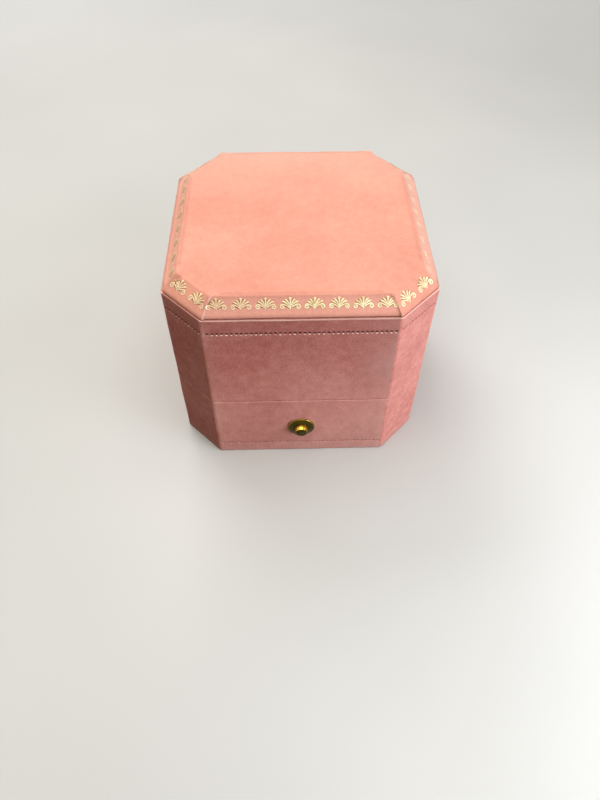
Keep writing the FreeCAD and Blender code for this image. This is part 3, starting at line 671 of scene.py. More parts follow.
base_suede = suede_wall(
    "base_suede", "base_wrap", "base", insets=(6.0, TURN_IN), rounds=(0.4, 0.2), row=BASE_STITCH_HEIGHT,
    groove=0.0, hole_size=0.72, rims=(0.3, 0.7), foot=BASE_STITCH_HEIGHT,
)
cut_for_hinge(base_suede)
cut(base_suede, *box_cutter(*LATCH_ROOM))
cut(base_suede, *about_button(BUTTON_ROOM, BUTTON_ROOM_STEPS, hollow=False))
lid_suede = suede_wall(
    "lid_suede", "lid_wrap", "lid", insets=(TURN_IN, 4.5), rounds=(0.2, 0.1), row=LID_STITCH_HEIGHT,
    groove=LIP_GROOVE, hole_size=1.0, rims=(0.1, 1.9), foot=0.0,
)
cut_for_hinge(lid_suede)


def stitch_threads(name, row, size, material, body):
    """A short slanted thread under each hole of a row, some pulled tighter than others."""
    rounds, around = 5, 8
    uneven = np.random.RandomState(7)
    points, faces = [], []
    for side in range(SIDES):
        normal, along = side_normal(side), side_along(side)
        half = straight_half(side)
        count = (MAIN_STITCHES, CHAMFER_STITCHES)[side % 2]
        for stitch in range(count):
            scale = size * THREAD_SIZES.get(side, 1.0) * uneven.uniform(0.6, 1.15)
            length, thick = THREAD_LENGTH * scale, THREAD_THICK * scale
            place = ((stitch + 0.5) / count * 2 - 1) * half
            lean = 0.10 * math.sin(stitch * 2.4 + side)
            base = len(points)
            for i in range(rounds + 1):
                share = i / rounds * 2 - 1
                radius = thick * math.sqrt(max(1 - share**4, 0.02))
                drop = row - THREAD_DROP * size + share * lean * 0.6
                out = side_distance(side) - 0.03
                centre = normal * out + along * (place + share * length / 2)
                points += [(*(centre + normal * over), drop + up) for over, up in circle(radius, around)]
            faces += tube_faces(rounds + 1, around, base)
    new_piece(name, spread(points), faces, material, body)


stitch_threads("lid_stitches", LID_STITCH_HEIGHT, 1.0, THREAD, "lid")
stitch_threads("base_stitches", BASE_STITCH_HEIGHT, 0.66, DULL_THREAD, "base")

# Padded top: a sloping border under a soft crest, with folds at the corners

PAD_OUTLINE = [
    (0.90, -0.16), (0.58, -0.15), (0.40, 0.00), (0.38, 0.30), (0.66, 0.74), (1.20, 1.22),
    (2.22, 2.40), (3.26, 3.60), (3.66, 3.92), (4.20, 3.92), (4.90, 3.92),
]
PAD_CORNER = 0.5
CHAMFER_LEAN = 0.12
BAND_FOOT = 0.50
SHADE_TOP = 1.15
CHAMFER_SOFT = 0.5
BAND_CREST = 3.60
BAND_FOLD = (0.22, 0.13, 0.08, 0.13)
# Painted shade beside the folds and above the lip by side, and painted light on the bands by side.
FOLD_SHADE = {-1: 0.1, 1: 0.3}
FOOT_SHADE = {1: 0.06, 2: 0.06, 3: 0.06}
BAND_PAINTED_LIGHT = {0: 0.25, 2: 0.5, 4: 0.25, 6: 0.2}
FOOT_SPREAD = {0: 0.0, 2: 0.26, 4: 0.0, 6: 0.26}
CREASE_INSET = 4.0
CREASE_DEPTH = 0.15
CROWN = 0.18
FALLEN_CORNERS = {2: 0.95, 5: 1.1}
FALL_REACH = 2.6
FALL_CURVE = 0.8
PUFF = 0.035
PAD_WAVE = 9.0
TOP_WAVE = 17.0
TOP_PUFF = 0.06
# Painted light on the top, growing towards its back.
BACK_PAINTED_LIGHT = 0.5


def rounded(points, rounds=3):
    """Cuts the corners of a line of points until it is smooth."""
    points = np.asarray(points, float)
    for _ in range(rounds):
        start, end = points[:-1], points[1:]
        inner = np.stack([0.75 * start + 0.25 * end, 0.25 * start + 0.75 * end], axis=1)
        points = np.vstack([points[:1], inner.reshape(-1, 2), points[-1:]])
    return points


PROFILE = rounded(PAD_OUTLINE)
PROFILE[:, 1] += LID_TOP
PROFILE_RUN = np.concatenate([[0], np.cumsum(np.linalg.norm(np.diff(PROFILE, axis=0), axis=1))])
PROFILE_WAY = np.gradient(PROFILE, PROFILE_RUN, axis=0)
PAD_TOP = PROFILE[-1, 1]


def band_point(run):
    """Inset and height on the border's profile, run mm along it, and its outward and upward normal."""
    inset, height = (np.interp(run, PROFILE_RUN, PROFILE[:, i]) for i in range(2))
    up, out = (np.interp(run, PROFILE_RUN, PROFILE_WAY[:, i]) for i in range(2))
    return inset, height, out, up


def lean(inset):
    """How much further in the border lies on the chamfers."""
    return CHAMFER_LEAN * max(inset - PAD_CORNER, 0.0)


def run_at(inset):
    """The run along the profile where its slope reaches an inset."""
    slope = PROFILE_RUN > 1.0
    return float(np.interp(inset, PROFILE[slope, 0], PROFILE_RUN[slope]))


RUN_CREST = run_at(BAND_CREST)
RUN_FOOT = run_at(BAND_FOOT)
RUN_SHADE = run_at(SHADE_TOP)


def band_parts(side, place, run, inset):
    """The parts of the folds at a main side's two ends: step, shade, ridge and crease."""
    from_end = side_half(side, inset) - np.abs(place)
    climb = (run - RUN_FOOT) / (RUN_CREST - RUN_FOOT)
    share = np.clip(climb, 0, 1)
    below = 1 - smoothstep(0.78, 1.06, climb)
    left = np.asarray(place) < 0
    fold = np.where(left, 0.58 - 0.30 * share, 0.30 - 0.05 * share) + 1.2 * share**3
    step = smoothstep(fold - 0.13, fold + 0.13, from_end) * below
    # shade is painted shade beside the fold, deeper at the right end.
    deep = np.where(left, FOLD_SHADE[-1], FOLD_SHADE[1]) * (1 - 0.5 * share)
    shade = bell(from_end - fold, np.where(from_end > fold, 0.45, 0.08)) * deep * below
    ridge = bell(from_end - fold + 0.28, 0.19) * below * left
    crease = bell(inset - CREASE_INSET, 0.30) * smoothstep(1.9, 3.2, from_end)
    return step, shade, ridge, crease


def band_recess(side, place, run, inset):
    """How far the suede of a main side's band lies back."""
    step, _, ridge, crease = band_parts(side, place, run, inset)
    return (step - 0.45 * ridge) * BAND_FOLD[side // 2] + crease * CREASE_DEPTH


def chamfer_recess(side, place, run, inset):
    """How far the crest is rounded off along a chamfer."""
    soft = bell(run - RUN_CREST, 1.5) * CHAMFER_SOFT
    return soft * smoothstep(0.0, 1.4, side_half(side, inset) - np.abs(place))


def fallen(points):
    """Lets the padded top fall away at its back corners, then spreads it with the walls."""
    points = np.array(points, float)
    raised = np.clip((points[:, 2] - LID_TOP) / (PAD_TOP - LID_TOP), 0, 1)
    for side, drop in FALLEN_CORNERS.items():
        corner = corner_after(side, side_distance(side) - BAND_CREST, side_distance(side + 1) - BAND_CREST)
        away = np.linalg.norm(points[:, :2] - corner, axis=1)
        points[:, 2] -= drop * bell(away, FALL_REACH) * raised**FALL_CURVE
    return spread(points)


def padded_top():
    near = np.concatenate([np.arange(0, 3.2, 0.11), np.arange(3.2, 6.0, 0.4)]) / 40.0
    middle = np.linspace(near[-1] + 0.02, 1 - near[-1] - 0.02, 34)
    plan = Plan(np.concatenate([near, middle, 1 - near[::-1]]), np.linspace(0, 1, 29), 6)
    low = np.linspace(0, RUN_FOOT + 0.3, 12)
    slope = np.linspace(low[-1], RUN_CREST - 0.5, 18)[1:]
    crest = np.linspace(slope[-1], PROFILE_RUN[-1], 18)[1:]
    points, painted_shades, edges = [], [], []
    for run in np.concatenate([low, slope, crest]):
        inset, z, out, up = band_point(run)
        flat, normal, places = plan.ring(inset, PAD_CORNER, lean(inset))
        ring = at_height(flat, z)
        facing = at_height(normal * out, up)
        back, painted_shade, edge = np.zeros(len(flat)), np.zeros(len(flat)), np.zeros(len(flat))
        for side in range(0, SIDES, 2):
            on_side = plan.side == side
            back[on_side] = band_recess(side, places[on_side], run, inset)
            _, shade, ridge, crease = band_parts(side, places[on_side], run, inset)
            # Painted shade beside each fold and along the crease; painted light on the lit ridge of a fold
            # and on each band below its crest.
            painted_shade[on_side] = shade + crease * 0.13
            edge[on_side] = ridge * 1.5 + BAND_PAINTED_LIGHT[side] * smoothstep(RUN_CREST, RUN_CREST - 0.8, run)
            from_end = side_half(side, inset) - np.abs(places[on_side])
            out_foot = FOOT_SPREAD[side] * smoothstep(RUN_SHADE, RUN_FOOT - 0.3, run)
            back[on_side] -= out_foot * smoothstep(0.6, 4.0, from_end)
            chamfer = plan.side == side + 1
            back[chamfer] = chamfer_recess(side + 1, places[chamfer], run, inset)
        push = ripple(ring, PAD_WAVE) * PUFF - back
        points.append(ring + facing * push[:, None])
        # Painted shade above the lip, under the border's foot.
        foot = plan.by_side(FOOT_SHADE, 0.26)
        painted_shades.append(painted_shade + smoothstep(RUN_SHADE, RUN_FOOT - 0.3, run) * foot)
        edges.append(edge)
    rim = points[-1].copy()
    for scale in np.concatenate([np.linspace(0.985, 0.92, 5), np.linspace(0.88, 0.06, 22)]):
        ring = at_height(flat * scale, PAD_TOP + CROWN * (1 - scale**2))
        keep = smoothstep(0.90, 1.0, scale)
        ring[:, 2] += ripple(ring, TOP_WAVE) * TOP_PUFF * (1 - keep) + (rim[:, 2] - PAD_TOP) * keep
        points.append(ring)
        painted_shades.append(np.zeros(len(flat)))
        edges.append(np.zeros(len(flat)))
    # Painted light on the top, paler towards its back.
    edges = [edge + smoothstep(2.0, 27.0, ring[:, 1]) * BACK_PAINTED_LIGHT for edge, ring in zip(edges, points)]
    count = plan.count
    faces = grid_faces(len(points), count)
    flat_points = np.concatenate(points)
    top, bottom = len(flat_points), len(flat_points) + 1
    last = (len(points) - 1) * count
    for k in range(count):
        faces.append((last + k, last + (k + 1) % count, top))
        faces.append(((k + 1) % count, k, bottom))
    centre = points[-1][:, 2].mean()
    flat_points = fallen(np.vstack([flat_points, [[0, 0, centre], [0, 0, points[0][:, 2].mean()]]]))
    marks = {"painted_shade": np.concatenate(painted_shades + [np.zeros(2)]), "edge": np.concatenate(edges + [np.zeros(2)])}
    piece = new_piece(
        "lid_top_suede", flat_points, faces, SUEDE, "lid", ["lid_top_pad"], marks=marks
    )


padded_top()

# Gold border: palmettes of leaves and curls, laid on the sloping border

PALMETTE_PITCHES = (5.05, 5.85, 5.05, 5.1, 5.05, 5.1, 5.05, 5.85)
PALMETTE_SCALES = (1.0, 1.08)
MAIN_PALMETTES = 8
CHAMFER_PALMETTES = 2
GOLD_FOOT = 1.74
GOLD_DROP = {0: 0.31, 1: 0.8, 2: 0.7, 3: 1.25, 5: 1.25, 6: 0.3, 7: 0.4}
GOLD_SHIFT = {0: 0.1, 1: 0.35, 3: 0.5, 5: -0.5, 7: 0.1}
GOLD_LIFT = 0.02
GOLD_DOME = 0.012
GOLD_ROOT = 0.06
GOLD_RIM = 0.07
GOLD_WORN = {2: 0.42, 4: 0.7, 6: 0.7}
# Painted dim reflection of the foil by side; on the right side the painted shadow round the strokes is
# weaker and the shaded ground under them is left out.
GOLD_PAINTED_DIM = {1: 0.15, 4: 0.4, 5: 0.6, 6: 0.8, 7: 0.8}
GOLD_PAINTED_SHADE = {2: 0.4}
GROUND_LIFT = 0.008
GROUND_MIDDLE = np.array([0.0, 1.0])
GROUND_OUTLINE = [
    (0.0, 0.05), (0.4, 0.3), (0.9, 0.52), (1.4, 0.5), (1.78, 0.66), (1.78, 1.04),
    (1.66, 1.5), (1.18, 2.0), (0.5, 2.3), (0.0, 2.4),
]
RUN_GOLD = run_at(GOLD_FOOT)


def on_border(side, place, rise, lift):
    """A point over the border: a place along a side, a rise up the profile and a lift off it."""
    run = RUN_GOLD + rise - GOLD_DROP.get(side, 0.0)
    inset, height, out, up = band_point(run)
    extra = lean(inset) * (side % 2)
    foot = side_normal(side) * (side_distance(side) - inset - extra) + side_along(side) * place
    lift = lift + float(ripple(np.array([[foot[0], foot[1], height]]), PAD_WAVE)[0]) * PUFF
    recess = (band_recess, chamfer_recess)[side % 2]
    lift -= float(recess(side, place, run, inset))
    flat = foot + side_normal(side) * lift * out
    return flat[0], flat[1], height + lift * up


def bezier(p0, p1, p2, steps):
    t = np.linspace(0, 1, steps)[:, None]
    return (1 - t) ** 2 * np.array(p0) + 2 * t * (1 - t) * np.array(p1) + t**2 * np.array(p2)


def leaf_widths(steps, root, belly, place):
    """Half widths of a leaf: a thin root, a belly and a rounded tip."""
    t = np.linspace(0, 1, steps)
    rising = root + (belly - root) * smoothstep(0, place, t)
    falling = belly * np.sqrt(np.clip(1 - ((t - place) / (1 - place)) ** 2, 0.02, 1))
    return np.where(t < place, rising, falling)


def palmette_strokes():
    """The strokes of one palmette, in millimetres: points along each stroke and half widths."""
    heights = np.array([0.0, 0.14, 0.3, 0.8, 1.3, 1.75, 2.1, 2.34, 2.46])
    stem = np.column_stack([np.zeros(len(heights)), heights])
    strokes = [(stem, np.array([0.10, 0.11, 0.08, 0.07, 0.07, 0.09, 0.15, 0.25, 0.18]))]
    for start, bend, tip, belly in [
        ((0.15, 0.72), (0.34, 1.62), (1.02, 2.16), 0.12),
        ((0.20, 0.52), (0.60, 1.40), (1.66, 1.72), 0.12),
    ]:
        for mirror in (-1, 1):
            path = bezier(start, bend, tip, 9) * (mirror, 1)
            strokes.append((path, leaf_widths(9, 0.05, belly, 0.74)))
    turns = np.linspace(0, 1, 17)
    angles = math.radians(128) - turns * math.radians(470)
    radii = 0.56 - 0.44 * turns
    curl = np.column_stack([1.58 + radii * np.cos(angles), 0.54 + radii * np.sin(angles)])
    curl = np.vstack([bezier((0.17, 0.30), (0.62, 0.78), curl[0], 6)[:-1], curl])
    for mirror in (-1, 1):
        share = np.linspace(0, 1, len(curl))
        widths = np.interp(share, [0, 0.3, 0.6, 0.9, 1.0], [0.05, 0.10, 0.09, 0.07, 0.10])
        strokes.append((curl * (mirror, 1), widths))
    return strokes


def foil_section(wide, side):
    """A stroke's section: places across it, lifts, and how much painted shadow each place takes round the
    stroke's sunk rim.
    """
    worn, shade_strength = GOLD_WORN.get(side, 1.0), GOLD_PAINTED_SHADE.get(side, 1.0)
    wide, rim = wide * worn, (wide + GOLD_RIM * (2 * worn - 1)) * worn
    half = [(rim, -GOLD_ROOT, shade_strength), (rim, GOLD_LIFT * 0.4, shade_strength), (wide, GOLD_LIFT, 0.25 * shade_strength)]
    left = [(-place, lift, mark) for place, lift, mark in half]
    return left + [(0.0, GOLD_LIFT + GOLD_DOME, 0.0)] + half[::-1]


def palmette_places():
    """Each palmette's side, its middle along that side and its scale."""
    for side in range(SIDES):
        count = (MAIN_PALMETTES, CHAMFER_PALMETTES)[side % 2]
        for palmette in range(count):
            middle = (palmette - (count - 1) / 2) * PALMETTE_PITCHES[side] + GOLD_SHIFT.get(side, 0)
            yield side, middle, PALMETTE_SCALES[side % 2]


def painted_dim_at(side, middle):
    """How dim a palmette's foil and ground are painted, a painted dim reflection and shade: it brightens
    along the front, from left to right.
    """
    return smoothstep(1.0, -14.0, middle) * 0.9 if side == 0 else GOLD_PAINTED_DIM.get(side, 0.0)


def gold_border():
    strokes = palmette_strokes()
    points, faces, painted_rim_shade, painted_dims = [], [], [], []
    for side, middle, scale in palmette_places():
        for path, widths in strokes:
            base = len(points)
            for (x, y), way, wide in zip(path * scale, headings(path), widths * scale):
                for edge, lift, mark in foil_section(wide, side):
                    u, v = x + way[1] * edge, y - way[0] * edge
                    points.append(on_border(side, middle + u, v, lift))
                    painted_rim_shade.append(mark)
                    painted_dims.append(painted_dim_at(side, middle))
            faces += tube_faces(len(path), len(foil_section(0, 0)), base)
    marks = {"painted_rim_shade": painted_rim_shade, "painted_dim": painted_dims}
    new_piece("gold_border", fallen(points), faces, GOLD, "lid", marks=marks)


def border_ground():
    """The suede under each palmette, darkened partly by the stamp and partly as painted shade of the
    impression: a thin patch sunk at its edge.
    """
    half = np.array(GROUND_OUTLINE)
    outline = np.vstack([half, half[-2:0:-1] * (-1, 1)])
    shares = (0.02, 0.35, 0.7, 1.0, 1.0)
    lifts = (GROUND_LIFT,) * 4 + (-GOLD_ROOT,)
    points, faces, painted_dims = [], [], []
    for side, middle, scale in palmette_places():
        if side in GOLD_PAINTED_SHADE:
            continue
        worn = GOLD_WORN.get(side, 1.0)
        base = len(points)
        for share, lift in zip(shares, lifts):
            for u, v in (GROUND_MIDDLE + (outline - GROUND_MIDDLE) * share * worn) * scale:
                points.append(on_border(side, middle + u, v, lift))
        painted_dims += [painted_dim_at(side, middle)] * (len(points) - base)
        faces += tube_faces(len(shares), len(outline), base)
    marks = {"painted_dim": painted_dims}
    new_piece("border_ground", fallen(points), faces, PRESSED_SHADED_SUEDE, "lid", marks=marks)


gold_border()
border_ground()

# Push button and bushing: turned brass

LATHE_STEPS = 96
LATHE_CORE = 0.02


def lathe(name, node, body, *runs):
    """A closed profile turned about the button's axis, in runs of one polish.

    Each run is a polish and its points, as (radius, distance out of the front wall).
    """
    section = [(max(radius, LATHE_CORE), -HALF - out) for _, run in runs for radius, out in run]
    polish = [shine for shine, run in runs for _ in run]
    points, faces = about_button(section, LATHE_STEPS)
    marks = {"polish": np.repeat(polish, LATHE_STEPS)}
    new_piece(name, points, faces, AGED_BRASS, body, [node], marks=marks)


lathe(
    "brass_bushing", "button_bushing", "base",
    (0.0, [(1.75, -3.65), (2.4, -3.65), (2.4, -0.02), (3.2, -0.02)]),
    (0.35, arc_points((3.13, 0.2), 0.22, -60, 75, 9)),
    (0.0, [(3.08, 0.44), (2.9, 0.50), (2.5, 0.65), (2.1, 0.77), (1.9, 0.80), (1.8, 0.79)]),
    (0.0, [(1.75, 0.72), (1.75, -1.5)]),
)
lathe(
    "brass_button", "push_button", "button",
    (0.0, [(0.0, -5.55), (0.3, -5.54), (0.8, -5.2), (1.2, -4.6), (1.2, -4.35), (2.4, -4.35)]),
    (0.0, [(2.4, -3.75), (1.7, -3.75), (1.7, 0.4)]),
    (1.0, [(1.7, 0.85), (1.68, 1.05), (1.62, 1.28), (1.54, 1.52), (1.46, 1.74), (1.37, 1.92)]),
    (0.0, arc_points((1.18, 1.98), 0.18, 20, 80, 6)),
    (0.0, [(1.0, 2.19), (0.7, 2.22), (0.4, 2.245), (0.0, 2.25)]),
)

# Ring rolls and the lid's cushion: covers blown up as cloth, ten times larger to suit the solver

SIM_SCALE = 10.0
SIM_FRAMES = 20
PRESSURE = 5.0
HELD_LAYER = 0.5
SATIN_ROOM = 0.22


def mesh_points(mesh):
    flat = np.empty(len(mesh.vertices) * 3, np.float32)
    mesh.vertices.foreach_get("co", flat)
    return flat.reshape(-1, 3).astype(float) / (MM * SIM_SCALE)


def stuffed(points, faces, held, voxel, slack, cap):
    """A filled cover: the form is remeshed, swells as cloth that is cut a little large, and is smoothed.

    held says which points stay where they are, and no point moves further than cap.
    """
    cover = linked("cover", new_mesh("cover", np.asarray(points) * MM, faces, SIM_SCALE))
    remesh = cover.modifiers.new("remesh", "REMESH")
    remesh.mode = "VOXEL"
    remesh.voxel_size = voxel * MM * SIM_SCALE
    settle(cover)
    before = mesh_points(cover.data)
    group = cover.vertex_groups.new(name="held")
    group.add([int(place) for place in np.flatnonzero(held(before))], 1.0, "REPLACE")
    cloth = cover.modifiers.new("cloth", "CLOTH").settings
    cloth.vertex_group_mass = "held"
    cloth.use_pressure = True
    cloth.uniform_pressure_force = PRESSURE
    cloth.shrink_min = -slack
    cloth.effector_weights.gravity = 0.0
    for step in range(1, SIM_FRAMES + 1):
        bpy.context.scene.frame_set(step)
    settle(cover)
    move = mesh_points(cover.data) - before
    length = np.maximum(np.linalg.norm(move, axis=1), 1e-9)
    after = before + move * np.minimum(1.0, cap / length)[:, None]
    cover.data.vertices.foreach_set("co", (after * MM * SIM_SCALE).astype(np.float32).ravel())
    cover.modifiers.new("smooth", "SUBSURF").levels = 1
    settle(cover)
    bpy.context.scene.frame_set(1)
    result = mesh_points(cover.data), [tuple(face.vertices) for face in cover.data.polygons]
    discard(cover)
    return result


def fitted(points, low, high):
    """Points stretched so that they just fill a box."""
    least, most = points.min(axis=0), points.max(axis=0)
    return low + (points - least) / (most - least) * (high - low)


def ring_roll(name, node):
    """A soft bolster: a rounded section that draws in at both ends, on a flat seat."""
    low, high = millimetres(node)
    middle, size = (low + high) / 2, high - low
    ends, steps, around = 3.4, 33, 25
    angles = np.linspace(0, math.pi, around)
    points = []
    for x in np.linspace(-0.97, 0.97, steps) * size[0] / 2:
        gone = max(0.0, 1 - (size[0] / 2 - abs(x)) / ends)
        full = math.sqrt(max(1 - gone**2.2, 0.05))
        across = np.sign(np.cos(angles)) * np.abs(np.cos(angles)) ** 0.8 * size[1] * 0.46
        up = np.abs(np.sin(angles)) ** 0.8 * size[2] * 0.9 * full
        points.append(np.column_stack([np.full(around, x), middle[1] + across * full**0.4, low[2] + up]))
    cover, faces = stuffed(
        np.concatenate(points), tube_faces(steps, around), lambda p: p[:, 2] < low[2] + HELD_LAYER,
        voxel=0.5, slack=0.045, cap=0.9,
    )
    piece = new_piece(name, fitted(cover, low, high), faces, VELVET, "base", [node])


ring_roll("front_roll_velvet", "ring_roll_front")
ring_roll("rear_roll_velvet", "ring_roll_rear")


def satin_cushion():
    """The lid's inner cushion: a crowned pad whose satin gathers where it is held along its edge."""
    low, high = millimetres("lid_satin_pad")
    plan = Plan(np.linspace(0, 1, 25), np.linspace(0, 1, 9), 3)
    inset, thick = HALF - high[0], high[2] - low[2]
    section = [(0.0, 1.0), (0.05, 0.6), (0.5, 0.3), (1.5, 0.14), (3.5, 0.06), (8.0, 0.02), (22.0, 0.0)]
    points = []
    for more, share in section:
        flat, _, _ = plan.ring(inset + 0.3 + more, max(1.5 - more, 0.2))
        points.append(at_height(flat, low[2] + thick * (0.3 + 0.7 * share)))
    faces = [face[::-1] for face in tube_faces(len(points), plan.count)]
    cover, faces = stuffed(
        np.concatenate(points), faces, lambda p: p[:, 2] > high[2] - HELD_LAYER,
        voxel=0.6, slack=0.06, cap=1.4,
    )
    room = np.array([SATIN_ROOM, SATIN_ROOM, 0.0])
    cover = fitted(cover, low - room, high + room)
    piece = new_piece("lid_cushion_satin", cover, faces, SATIN, "lid", ["lid_satin_pad"])


satin_cushion()

# Hinge: two cranked leaves with rolled knuckles on one pin

LEAF_THICK = 0.4
LEAF_LENGTH = 10.5
LEAF_GAP = 0.1
LEAF_BEND = 0.45
LEAF_EDGE = 0.08
BARREL = 1.4
KNUCKLE_EDGE = 0.16
KNUCKLE_STEPS = 64
OUTER_KNUCKLE = (8.0, 13.0)
INNER_KNUCKLE = (4.2, 7.8)
PIN = 0.7
PIN_REACH = 13.3
FIXED_BORE = 0.725
TURNING_BORE = 0.75
SHARP_EDGE = math.radians(32)


def about_hinge(profile, hollow=True):
    """A section of (radius, x) turned about the hinge's axis, as a ring or as a solid with flat ends."""
    points, faces = revolved(profile, KNUCKLE_STEPS, hollow)
    return points[:, [2, 0, 1]] + (0.0, HINGE_Y, HINGE_Z), faces


def rounded_end(radius, edge, end, way):
    """The edge of a turned end as (radius, x), from its side to its face."""
    corner = arc_points((radius - edge, edge), edge, 0, -90, 6)
    return [(r, end - way * x) for r, x in corner]


def brass_shapes(name, shapes, node, body):
    """One piece from several closed shapes, smooth but for its sharp edges."""
    points, faces = [], []
    for shape_points, shape_faces in shapes:
        base = len(points)
        points += [tuple(point) for point in shape_points]
        faces += [tuple(base + k for k in face) for face in shape_faces]
    piece = new_piece(name, points, faces, BRASS, body, [node])
    work = bmesh.new()
    work.from_mesh(piece.data)
    bmesh.ops.recalc_face_normals(work, faces=work.faces)
    work.to_mesh(piece.data)
    work.free()
    piece.data.set_sharp_from_angle(angle=SHARP_EDGE)


def hinge_leaf(name, node, body, side, knuckle, bore):
    """side is -1 for the base's leaf, which hangs down, and 1 for the lid's."""
    low, high = millimetres(node)
    front, back, short = low[1], low[1] + LEAF_THICK, HINGE_Y - BARREL_ROOM

    def away(outline):
        return [(y, HINGE_Z + side * (LEAF_GAP + down)) for y, down in outline]

    bend = arc_points((front + LEAF_BEND, LEAF_BEND), LEAF_BEND, 180, 270, 7)
    foot = LEAF_LENGTH - LEAF_EDGE
    outline = [(front + LEAF_EDGE, LEAF_LENGTH), (front, foot)] + bend
    outline += [(short, 0.0), (short, LEAF_THICK), (back + LEAF_EDGE, LEAF_THICK)]
    outline += [(back, LEAF_THICK + LEAF_EDGE), (back, foot), (back - LEAF_EDGE, LEAF_LENGTH)]
    shapes = [prism_along_x(away(outline), high[0])]
    wall = HINGE_Y - (BARREL + PIN) / 2
    tongue = [(short, 0.01), (wall, 0.01), (wall, LEAF_THICK - 0.01), (short, LEAF_THICK - 0.01)]
    start, end = knuckle
    rim = rounded_end(BARREL, KNUCKLE_EDGE, start, -1)[::-1] + rounded_end(BARREL, KNUCKLE_EDGE, end, 1)
    for mirror in (-1, 1):
        profile = [(r, x * mirror) for r, x in [(bore, start)] + rim + [(bore, end)]]
        shapes.append(about_hinge(profile))
        points, faces = prism_along_x(away(tongue), (end - start) / 2)
        shapes.append((np.array(points) + ((start + end) / 2 * mirror, 0, 0), faces))
    brass_shapes(name, shapes, node, body)


def hinge_pin():
    """A pin whose ends are peened to low domes."""
    dome = [(PIN, PIN_REACH - 0.3), (0.68, PIN_REACH - 0.18), (0.6, PIN_REACH - 0.08)]
    dome += [(0.42, PIN_REACH - 0.02), (0.2, PIN_REACH)]
    profile = [(r, -x) for r, x in dome[::-1]] + dome
    brass_shapes("hinge_pin_brass", [about_hinge(profile, hollow=False)], "hinge_pin", "base")


hinge_leaf("hinge_base_leaf", "hinge_lower_leaf", "base", -1, OUTER_KNUCKLE, FIXED_BORE)
hinge_leaf("hinge_lid_leaf", "hinge_upper_leaf", "lid", 1, INNER_KNUCKLE, TURNING_BORE)
hinge_pin()

# Springs: a coiled wire round the hinge's pin and a bent strip for the latch


def tube(path, radius, around=12):
    """A closed tube along a path of points."""
    ways = headings(path)
    across = np.cross(ways[0], (1.0, 0.0, 0.0))
    points = []
    for point, way in zip(path, ways):
        across = across - way * (across @ way)
        across /= np.linalg.norm(across)
        over = np.cross(way, across)
        points += [point + across * right + over * up for right, up in circle(radius, around)]
    return points, tube_faces(len(path), around)


SPRING_TURNS = 6.5
SPRING_RADIUS = 1.1
SPRING_PITCH = 1.0
SPRING_LEG = 2.4
SPRING_WIRE = 0.225


def hinge_spring():
    turns = np.linspace(0, SPRING_TURNS, 261)
    angles = 2 * math.pi * turns
    coil = np.column_stack(
        [
            (turns - SPRING_TURNS / 2) * SPRING_PITCH,
            HINGE_Y + SPRING_RADIUS * np.sin(angles),
            HINGE_Z - SPRING_RADIUS * np.cos(angles),
        ]
    )
    first, last = coil[0] - coil[1], coil[-1] - coil[-2]
    legs = np.linspace(0, SPRING_LEG, 9)[1:, None]
    before = coil[0] + legs[::-1] * first / np.linalg.norm(first)
    after = coil[-1] + legs * last / np.linalg.norm(last)
    points, faces = tube(np.vstack([before, coil, after]), SPRING_WIRE)
    piece = new_piece(
        "hinge_spring_wire", points, faces, STEEL, replaces=["hinge_spring"]
    )
    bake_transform(piece)


hinge_spring()


STRIP_THICK = 0.3
STRIP_BEND = -21.3


def latch_spring():
    """A bent strip: a foot on the floor and an arm that leans on the lever."""
    low, high = millimetres("latch_spring")
    thick, half = STRIP_THICK, high[0]
    tip = np.array((low[1] + thick / 2, high[2]))
    corner = np.array((STRIP_BEND + thick / 2, low[2] + thick / 2))
    foot = [(y, corner[1]) for y in np.linspace(high[1], STRIP_BEND + 0.9, 8)]
    arm_start = corner + (tip - corner) * 0.16
    knee = bezier(foot[-1], corner, arm_start, 9)
    arm = [arm_start + (tip - arm_start) * t for t in np.linspace(0, 1, 14)[1:]]
    line = np.vstack([foot[:-1], knee, arm])
    points = []
    for (y, z), (wy, wz) in zip(line, headings(line)):
        for x, side in ((-half, -1), (-half, 1), (half, 1), (half, -1)):
            points.append((x, y - wz * side * thick / 2, z + wy * side * thick / 2))
    faces, replaced = tube_faces(len(line), 4), ["latch_spring"]
    piece = new_piece(
        "latch_spring_strip", points, faces, STEEL, replaces=replaced, smooth=False
    )
    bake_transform(piece)


latch_spring()

# Floor, light and camera

BACKDROP = (0.70, 0.69, 0.675, 1.0)
FLOOR_SIZE = 3.0
FLOOR_NEAR, FLOOR_FAR = 0.16, 0.6
LIGHT_TARGET = Vector((0.0, 0.0, 0.03))
LENS = 29.31
CAMERA_PLACE = (-0.003576, -0.125758, 0.145365)
CAMERA_TURNS = [(-0.03356, "Z"), (0.65805, "X"), (0.00807, "Z")]


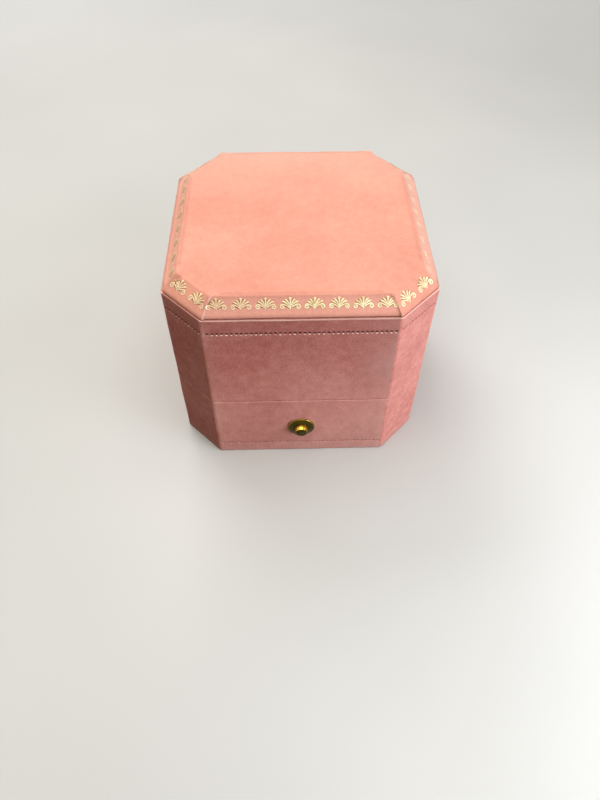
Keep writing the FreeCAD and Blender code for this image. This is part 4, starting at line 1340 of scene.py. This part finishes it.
def make_floor():
    """A pale floor that takes the box's shadow and fades into the backdrop further out."""
    made = new_finish("pale_floor")
    clouds = made.noise(9, 2.0)
    colour = made.ramp(clouds, (0.3, 0.7), [(0.53, 0.53, 0.54), (0.58, 0.58, 0.59)])
    made.dress(Base_Color=colour, Roughness=0.7, Specular_IOR_Level=0.2)
    shade = made.ramp(clouds, (0.3, 0.7), [(0.15, 0.11, 0.075), (0.17, 0.125, 0.085)])
    dim = made.add("ShaderNodeBsdfDiffuse", Color=shade)
    glow = made.add("ShaderNodeEmission", Color=BACKDROP)
    reach = made.add("ShaderNodeVectorMath")
    reach.operation = "LENGTH"
    made.feed(reach, made.add("ShaderNodeTexCoord").outputs["Object"])
    fade = made.add("ShaderNodeMapRange", Value=reach.outputs["Value"])
    fade.interpolation_type = "SMOOTHSTEP"
    made.feed(fade, From_Min=FLOOR_NEAR, From_Max=FLOOR_FAR)
    made.end_with(dim, made.mixed(fade.outputs["Result"], made.shader, glow), "Material Output")
    corners = [(-1, -1, 0), (1, -1, 0), (1, 1, 0), (-1, 1, 0)]
    mesh = new_mesh("floor", corners, [(0, 1, 2, 3)], FLOOR_SIZE)
    mesh.materials.append(made.owner)
    floor = linked("floor", mesh)


def area_light(name, place, size, watts, colour):
    """A round lamp that points at the middle of the box."""
    lamp = bpy.data.lights.new(name, "AREA")
    lamp.shape = "DISK"
    lamp.size = size
    lamp.energy = watts
    lamp.color = colour
    holder = linked(name, lamp)
    holder.visible_camera = False
    holder.location = place
    holder.rotation_euler = (LIGHT_TARGET - Vector(place)).to_track_quat("-Z", "Y").to_euler()


def make_world():
    """A weak even light, with a pale backdrop where it is looked at."""
    world = bpy.data.worlds.new("studio")
    bpy.context.scene.world = world
    made = Nodes(world)
    light = made.nodes["Background"]
    made.feed(light, Color=(1.0, 0.92, 0.80, 1.0), Strength=0.02)
    backdrop = made.add("ShaderNodeBackground", Color=BACKDROP, Strength=1.0)
    made.end_with(light, backdrop, "World Output")


make_floor()
area_light("key", (-0.03, -0.07, 0.63), size=0.7, watts=3.68, colour=(1.0, 0.98, 0.86))
area_light("window", (-0.22, 0.42, 0.46), size=0.4, watts=2.6, colour=(1.0, 0.98, 0.92))
area_light("left", (-0.20, -0.07, 0.12), size=0.15, watts=0.045, colour=(1.0, 0.85, 0.66))
area_light("right", (0.20, -0.115, 0.13), size=0.15, watts=0.26, colour=(0.98, 0.99, 1.0))
area_light("low", (0.13, -0.13, 0.055), size=0.12, watts=0.12, colour=(0.88, 0.94, 1.0))
make_world()

camera = bpy.data.cameras.new("camera")
camera.sensor_width = 36.0
camera.lens = LENS
camera.clip_start = 0.01
camera.dof.use_dof = False
holder = linked("camera", camera)
stance = Matrix.Translation(CAMERA_PLACE)
for angle, axis in CAMERA_TURNS:
    stance = stance @ Matrix.Rotation(angle, 4, axis)
holder.matrix_world = stance
bpy.context.scene.camera = holder
bpy.context.scene.view_settings.view_transform = "Standard"

bpy.context.view_layer.update()
